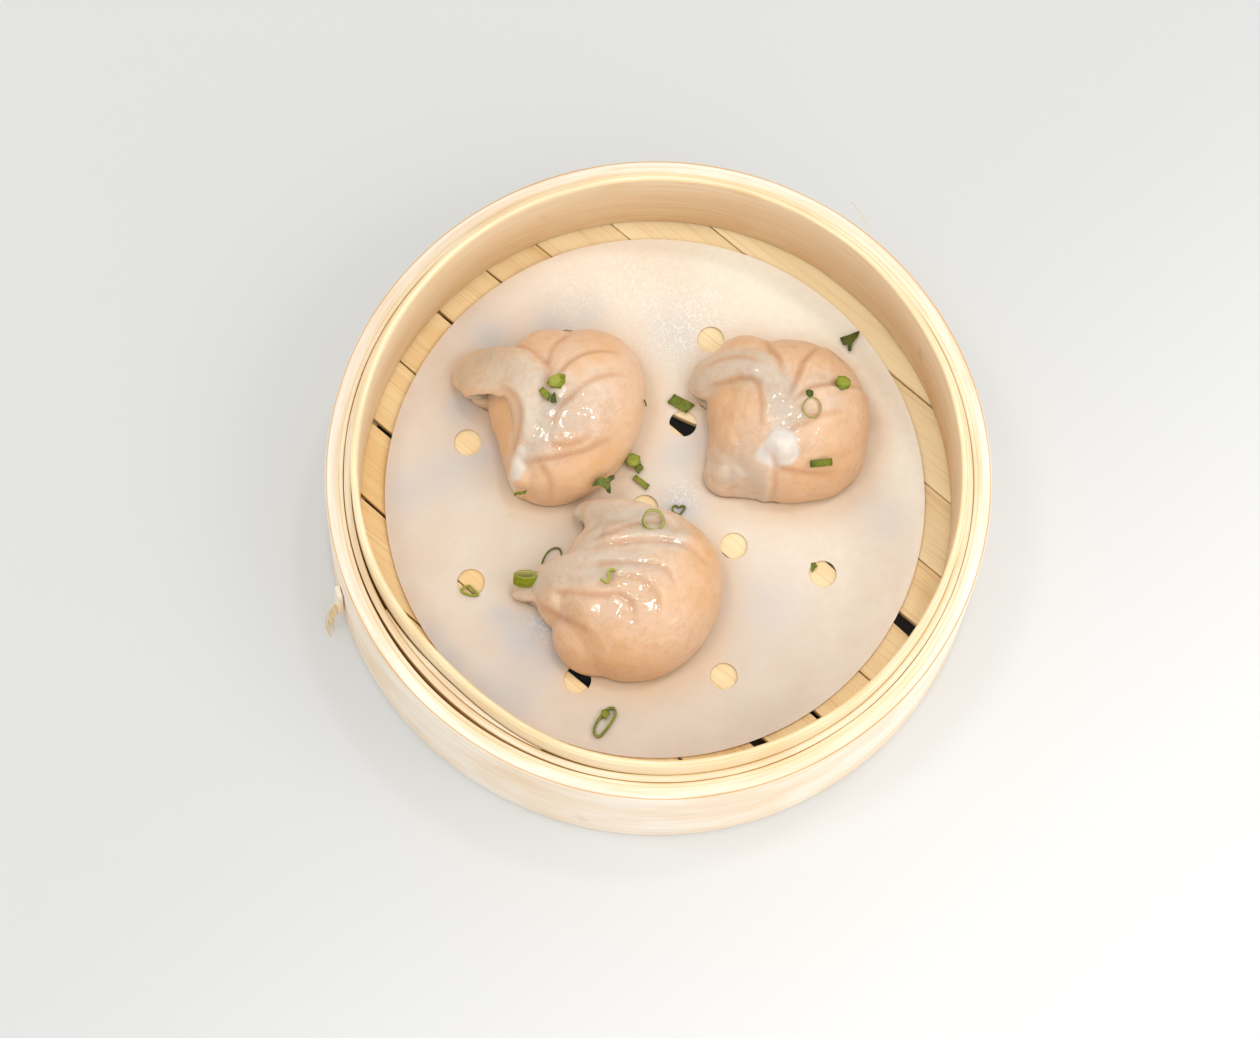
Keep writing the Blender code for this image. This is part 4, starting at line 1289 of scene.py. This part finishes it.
def onion_cut(x, y, thickness, dark, corners, heart=0.1, curve=0.3, lift=0.4,
              lean=(0.0, 0.0), follow=0.8, against=None):
    """An angular cut of leaf or stem: its corners are given round x, y."""
    put_down()
    bpy.ops.mesh.primitive_circle_add(vertices=len(corners), radius=MM, fill_type="NGON")
    cut = bpy.context.object
    outline = np.array(corners)
    turned = (outline[:, 0] * np.roll(outline[:, 1], -1)
              - outline[:, 1] * np.roll(outline[:, 0], -1)).sum()
    if turned > 0:
        outline = outline[::-1]
    move_to(cut, np.column_stack([outline, np.zeros(len(outline))]))
    apply_modifier(cut, "TRIANGULATE")
    apply_modifier(cut, "SUBSURF", subdivision_type="SIMPLE", levels=3)
    places = places_of(cut)
    width = np.abs(outline[:, 1]).max()
    places[:, 2] += curve * (1.0 - (places[:, 1] / width) ** 2)
    places += 0.1 * np.column_stack([rough_wave(places, 0.9, seed) for seed in (1, 2, 3)])
    move_to(cut, places)
    apply_modifier(cut, "SOLIDIFY", thickness=thickness * MM, offset=0.0)
    wear_edges(cut, 0.1)
    make_even(cut)
    put_down()
    places = places_of(cut)
    out = np.hypot(places[:, 0], places[:, 1]) / np.hypot(outline[:, 0], outline[:, 1]).mean()
    paint(cut, "heart", heart * (1.0 - ease((out - 0.5) / 0.5)))
    paint(cut, "dark", dark + 0.3 * ease((out - 0.6) / 0.4))
    lay_down(cut, x, y, 0.0, lift, lean, follow, against)
    return cut


def onion_curl(tall, wall, dark, route, heart=0.2, closed=False):
    """A thin curl on its edge: a strip that follows a route of x, y over the ground."""
    row = list(route) + ([route[0]] if closed else [])
    steps = 6 * (len(row) - 1)
    put_down()
    bpy.ops.mesh.primitive_grid_add(x_subdivisions=steps, y_subdivisions=2, size=1.0)
    strip = bpy.context.object
    places = places_of(strip) * MM
    share = places[:, 0] + 0.5
    line = np.array([spline_point(row, value)[:2] for value in share])
    level = max(ground(x, y)[0] for x, y in row) + 0.1
    places = np.column_stack([line, level + (places[:, 1] + 0.5) * tall])
    move_to(strip, places)
    if closed:
        open_mesh(strip)
        bpy.ops.mesh.remove_doubles(threshold=0.02 * MM)
        put_down()
    apply_modifier(strip, "SOLIDIFY", thickness=wall * MM, offset=0.0)
    wear_edges(strip, 0.08)
    paint(strip, "heart", heart)
    paint(strip, "dark", dark)
    settle(strip)
    return strip


def gather(pieces, name):
    """Join pieces of one kind into one object."""
    put_down()
    for piece in pieces:
        piece.select_set(True)
    bpy.context.view_layer.objects.active = pieces[0]
    bpy.ops.object.join()
    pieces[0].name = name
    return pieces[0]

# %% [markdown]
# The outside of the stem is dark and glossy, the cut face is pale and wet, and thin
# pieces let light through. Two numbers say how near a point is to the cut core, heart,
# and to the outer skin of the stem, dark.

# %% Onion material
onion_finish, graph, shader = new_material(
    "spring onion", 0.45, IOR=1.25, Subsurface_Weight=0.2, Subsurface_Scale=0.0006)
place = graph.place()
veins = graph.noise(place, 1600.0, 2.0, 0.5)
patch = graph.noise(place, 300.0, 2.0, 0.5)
dark = graph.attribute("dark")
streak = graph.times(graph.spread(veins, 0.4, 0.7, 0.0, 0.55),
                    graph.spread(dark, 0.0, 0.6, 0.3, 1.0))
green = (0.24, 0.30, 0.012)
for share, next_green in ((graph.spread(patch, 0.35, 0.65), (0.34, 0.38, 0.018)),
                          (graph.attribute("heart"), (0.62, 0.56, 0.20)),
                          (dark, (0.055, 0.075, 0.008)), (streak, (0.04, 0.06, 0.006))):
    green = graph.mix(share, green, next_green)
graph.feed(shader, Base_Color=green, Normal=graph.bump(veins, 0.3, 0.05))
print("finish:", onion_finish.name)

# %% [markdown]
# Where each bit lies is listed one by one: most are near the middle and on the dumplings.
# A ring is x, y, radius, wall, depth, stretch and turn. A curl is its height, wall, shade
# and route. A cut is x, y, thickness, shade and corners. What differs from the usual
# stands last.

# %% Lay out the onion
RINGS = (
    (-0.5, -11.3, 3.1, 0.65, 1.4, 1, 20, {"follow": 0.85, "lift": 1.5}),
    (-33.2, -27.7, 1.9, 0.75, 3.2, 1.85, 6, {"lean": (-34, 0), "follow": 0, "lift": 2}),
    (39.5, 23.4, 2.9, 0.4, 0.8, 0.92, 0, {"follow": 0.6}),
)
CURLS = (
    (0.7, 0.4, 0.6, ((-29.4, -21.3), (-29, -19.8), (-28.3, -18.2), (-27.3, -17.1), (-26, -16.5),
     (-24.9, -16.8), (-24.3, -18.2)), {}),
    (0.8, 0.45, 0.65, ((4.8, -1.5), (4.7, -2.6), (5.5, -3.4), (6.6, -3.7), (7.4, -2.8),
     (8.1, -1.4), (7.2, -1.1), (6.4, -1.6), (5.6, -1.2)), {"closed": True}),
    (1.2, 0.65, 0.4, ((-5.9, -59.9), (-7.5, -60.3), (-9.4, -62.8), (-10.5, -65.4),
     (-10.5, -67.3), (-9.2, -68.2), (-7.7, -66.5), (-6.3, -64.1), (-5.3, -61.5)),
     {"closed": True}),
    (0.9, 0.6, 0.2, ((-50.5, -31), (-49.6, -30.1), (-48.3, -29.8), (-47.1, -30.8),
     (-45.8, -31.9), (-47.5, -32.3), (-48.8, -32.1), (-50, -31.7)), {"closed": True}),
    (1.4, 0.6, 0.05, ((-12.9, -30.2), (-11.9, -30.8), (-11, -30.9), (-10.7, -29.4),
     (-11.2, -28.2), (-10.3, -27.4), (-9.2, -27.6)), {"heart": 0.3}),
    (0.5, 0.4, 0.9, ((-6, 25.4), (-5.6, 24.6), (-5.2, 23.6)), {}),
)
CUTS = (
    (49.2, 51.2, 0.8, 0.75, ((-2.8, 0.3), (2.4, 2.9), (2.1, 1.4), (0.7, -0.8), (0.55, -3.1),
     (-0.3, -3.1), (-0.65, -1.1), (-1.55, -1.7)), {"lift": 0.8}),
    (4.1, 28.1, 0.6, 0.5, ((-1.9, 2.6), (-3.7, 0), (1.75, -2.6), (3.9, 0)), {"lift": 0.5}),
    (43.2, 10.1, 0.9, 0.5, ((-3.3, 0.2), (-2.8, -1.6), (3.2, -0.3), (2.9, 1.4)),
     {"curve": 0.6}),
    (-4.6, 4.4, 0.7, 0.25, ((-1.7, 1.9), (-2.5, 0.75), (1.7, -1.95), (2.4, -0.45)),
     {"curve": 0.4, "lift": 0.5}),
    (-5.5, 8.1, 1.2, 0.6, ((-1.2, 0.1), (0.3, 1.4), (1.2, 0.4), (-0.1, -1.4)), {"lift": 0.8}),
    (-7.3, 10.2, 1.8, 0.05, ((-1.5, 1.4), (0.1, 1.8), (1.7, 0.8), (2.1, -0.55), (1.2, -1.5),
     (-0.7, -1.8), (-2.1, -0.8)), {"heart": 0.25, "lift": 1.2}),
    (-30.1, 24.1, 1.7, 0.05, ((-2.7, -0.9), (-1.9, 1.2), (0.35, 1.75), (2.3, 1.4), (2.5, -0.2),
     (1.2, -2), (-1.4, -1.8)),
     {"heart": 0.35, "curve": -0.5, "lift": 0.9, "lean": (14, -10), "follow": 0.6}),
    (-32.8, 20.1, 1, 0.35, ((-1.8, 0.8), (-0.8, 2.1), (1.5, 0.3), (1, -1.9)), {"lift": 0.6}),
    (-30.4, 19.2, 0.8, 0.9, ((0.1, 1.8), (1, -1.4), (-0.8, -1.3), (-0.7, 0.3)), {"lift": 0.7}),
    (47.4, 31.6, 1.6, 0.1, ((-2.2, 0), (-1.4, 1.7), (0.4, 2.2), (2.05, 0.3), (1.7, -1.1),
     (-0.3, -2.1), (-1.7, -1.1)), {"heart": 0.2, "curve": 0.6, "lift": 0.8, "follow": 0.4}),
    (38.5, 26.8, 0.9, 0.85, ((-1.1, 0.3), (-0.3, 0.9), (1, 0.5), (1, -0.6), (0, -1),
     (-0.8, -0.6)), {"lift": 0.4}),
    (-14.9, 0.4, 0.8, 0.65, ((-3.1, -1.2), (-2.1, 0.6), (-0.6, 1.5), (0.7, 1.3), (1.4, 2.2),
     (2.6, 2.4), (2.8, 1.5), (1.7, 0.4), (2.1, -1.1), (2.2, -2.6), (1.3, -2.3), (0, -1),
     (-1.5, -0.8)), {"lift": 0.5, "follow": 0.4, "against": (29, 0.5, -0.6, 0.6)}),
    (-37, -4.8, 0.7, 0.55, ((-1.7, -0.7), (-1.5, 0), (1.6, 0.9), (1.4, 0)),
     {"lift": 0.3, "against": (29.5, 0, -0.6, 0.8)}),
    (44.8, -14.6, 0.6, 0.5, ((-0.9, 1), (0.2, 1.5), (0.9, 0.4), (-0.4, -1.5)), {"lift": 0.4}),
    (-8, -61.9, 1.2, 0.3, ((-1.2, 0.9), (0.2, 1.3), (1.2, 0.5), (0.2, -1.3), (-1, -0.8)),
     {"lift": 0.7}),
)
for name, make, rows in (("onion_rings", onion_ring, RINGS),
                         ("onion_shreds", onion_curl, CURLS), ("onion_cuts", onion_cut, CUTS)):
    bits = [make(*row, **options) for *row, options in rows]
    finish_piece(gather(bits, name), onion_finish, smooth=50)

# %% [markdown]
# ## Lacing
# The hoops were laced with split bamboo, and one cut end stands off the wall. It keeps
# its place as a copy of its solid with rubbed edges. Torn fibres hang from it, and one
# long hair of bamboo lifts from the rim: each is a curve given a thickness.

# %% Lacing end and fibres
TORN_FIBRES = 11


def strand(route, thickness):
    """A thin fibre along five points."""
    put_down()
    bpy.ops.curve.primitive_nurbs_path_add()
    path = bpy.context.object
    for point, place in zip(path.data.splines[0].points, route):
        point.co = (*(Vector(place) * MM), 1.0)
    path.data.bevel_depth = thickness / 2.0 * MM
    path.data.bevel_resolution = 1
    path.data.use_fill_caps = True
    bpy.ops.object.convert(target="MESH")
    return bpy.context.object


lacing = rounded_copy("lacing_end", "lacing_end_strip", 0.12)
paint(lacing, "across", 0.6)
finish_piece(lacing, middle_finish, ["lacing_end"], smooth=35)
fibres = []
for number in range(TORN_FIBRES):
    share = number / (TORN_FIBRES - 1.0)
    out = 1.4 + 1.6 * math.sin(number * 2.4) ** 2
    x = -84.6 + 1.2 * share
    y = -35.4 - 2.8 * share
    fibres.append(strand((
        (x, y, 9.0 + 6.0 * share), (x - 0.7 * out, y - 0.4 * out, 7.0 + 4.0 * share),
        (x - out, y - 0.8 * out, 4.0), (x - 1.1 * out, y - 1.2 * out, 1.6),
        (x - 0.8 * out, y - 1.5 * out - 0.8, 0.5)), 0.22))
finish_piece(gather(fibres, "torn_fibres"), middle_finish)
hair = strand(((45.2, 84.2, 40.6), (46.6, 82.6, 43.0), (48.0, 80.0, 44.0),
               (49.4, 77.6, 44.0), (50.6, 76.0, 43.4)), 0.16)
hair.name = "rim_hair"
finish_piece(hair, middle_finish)

# %% [markdown]
# ## Finish
# Any solid left without a material is printed by name.

# %% Finish
for name, node in nodes.items():
    if not node.data.materials:
        print("no material on", name)
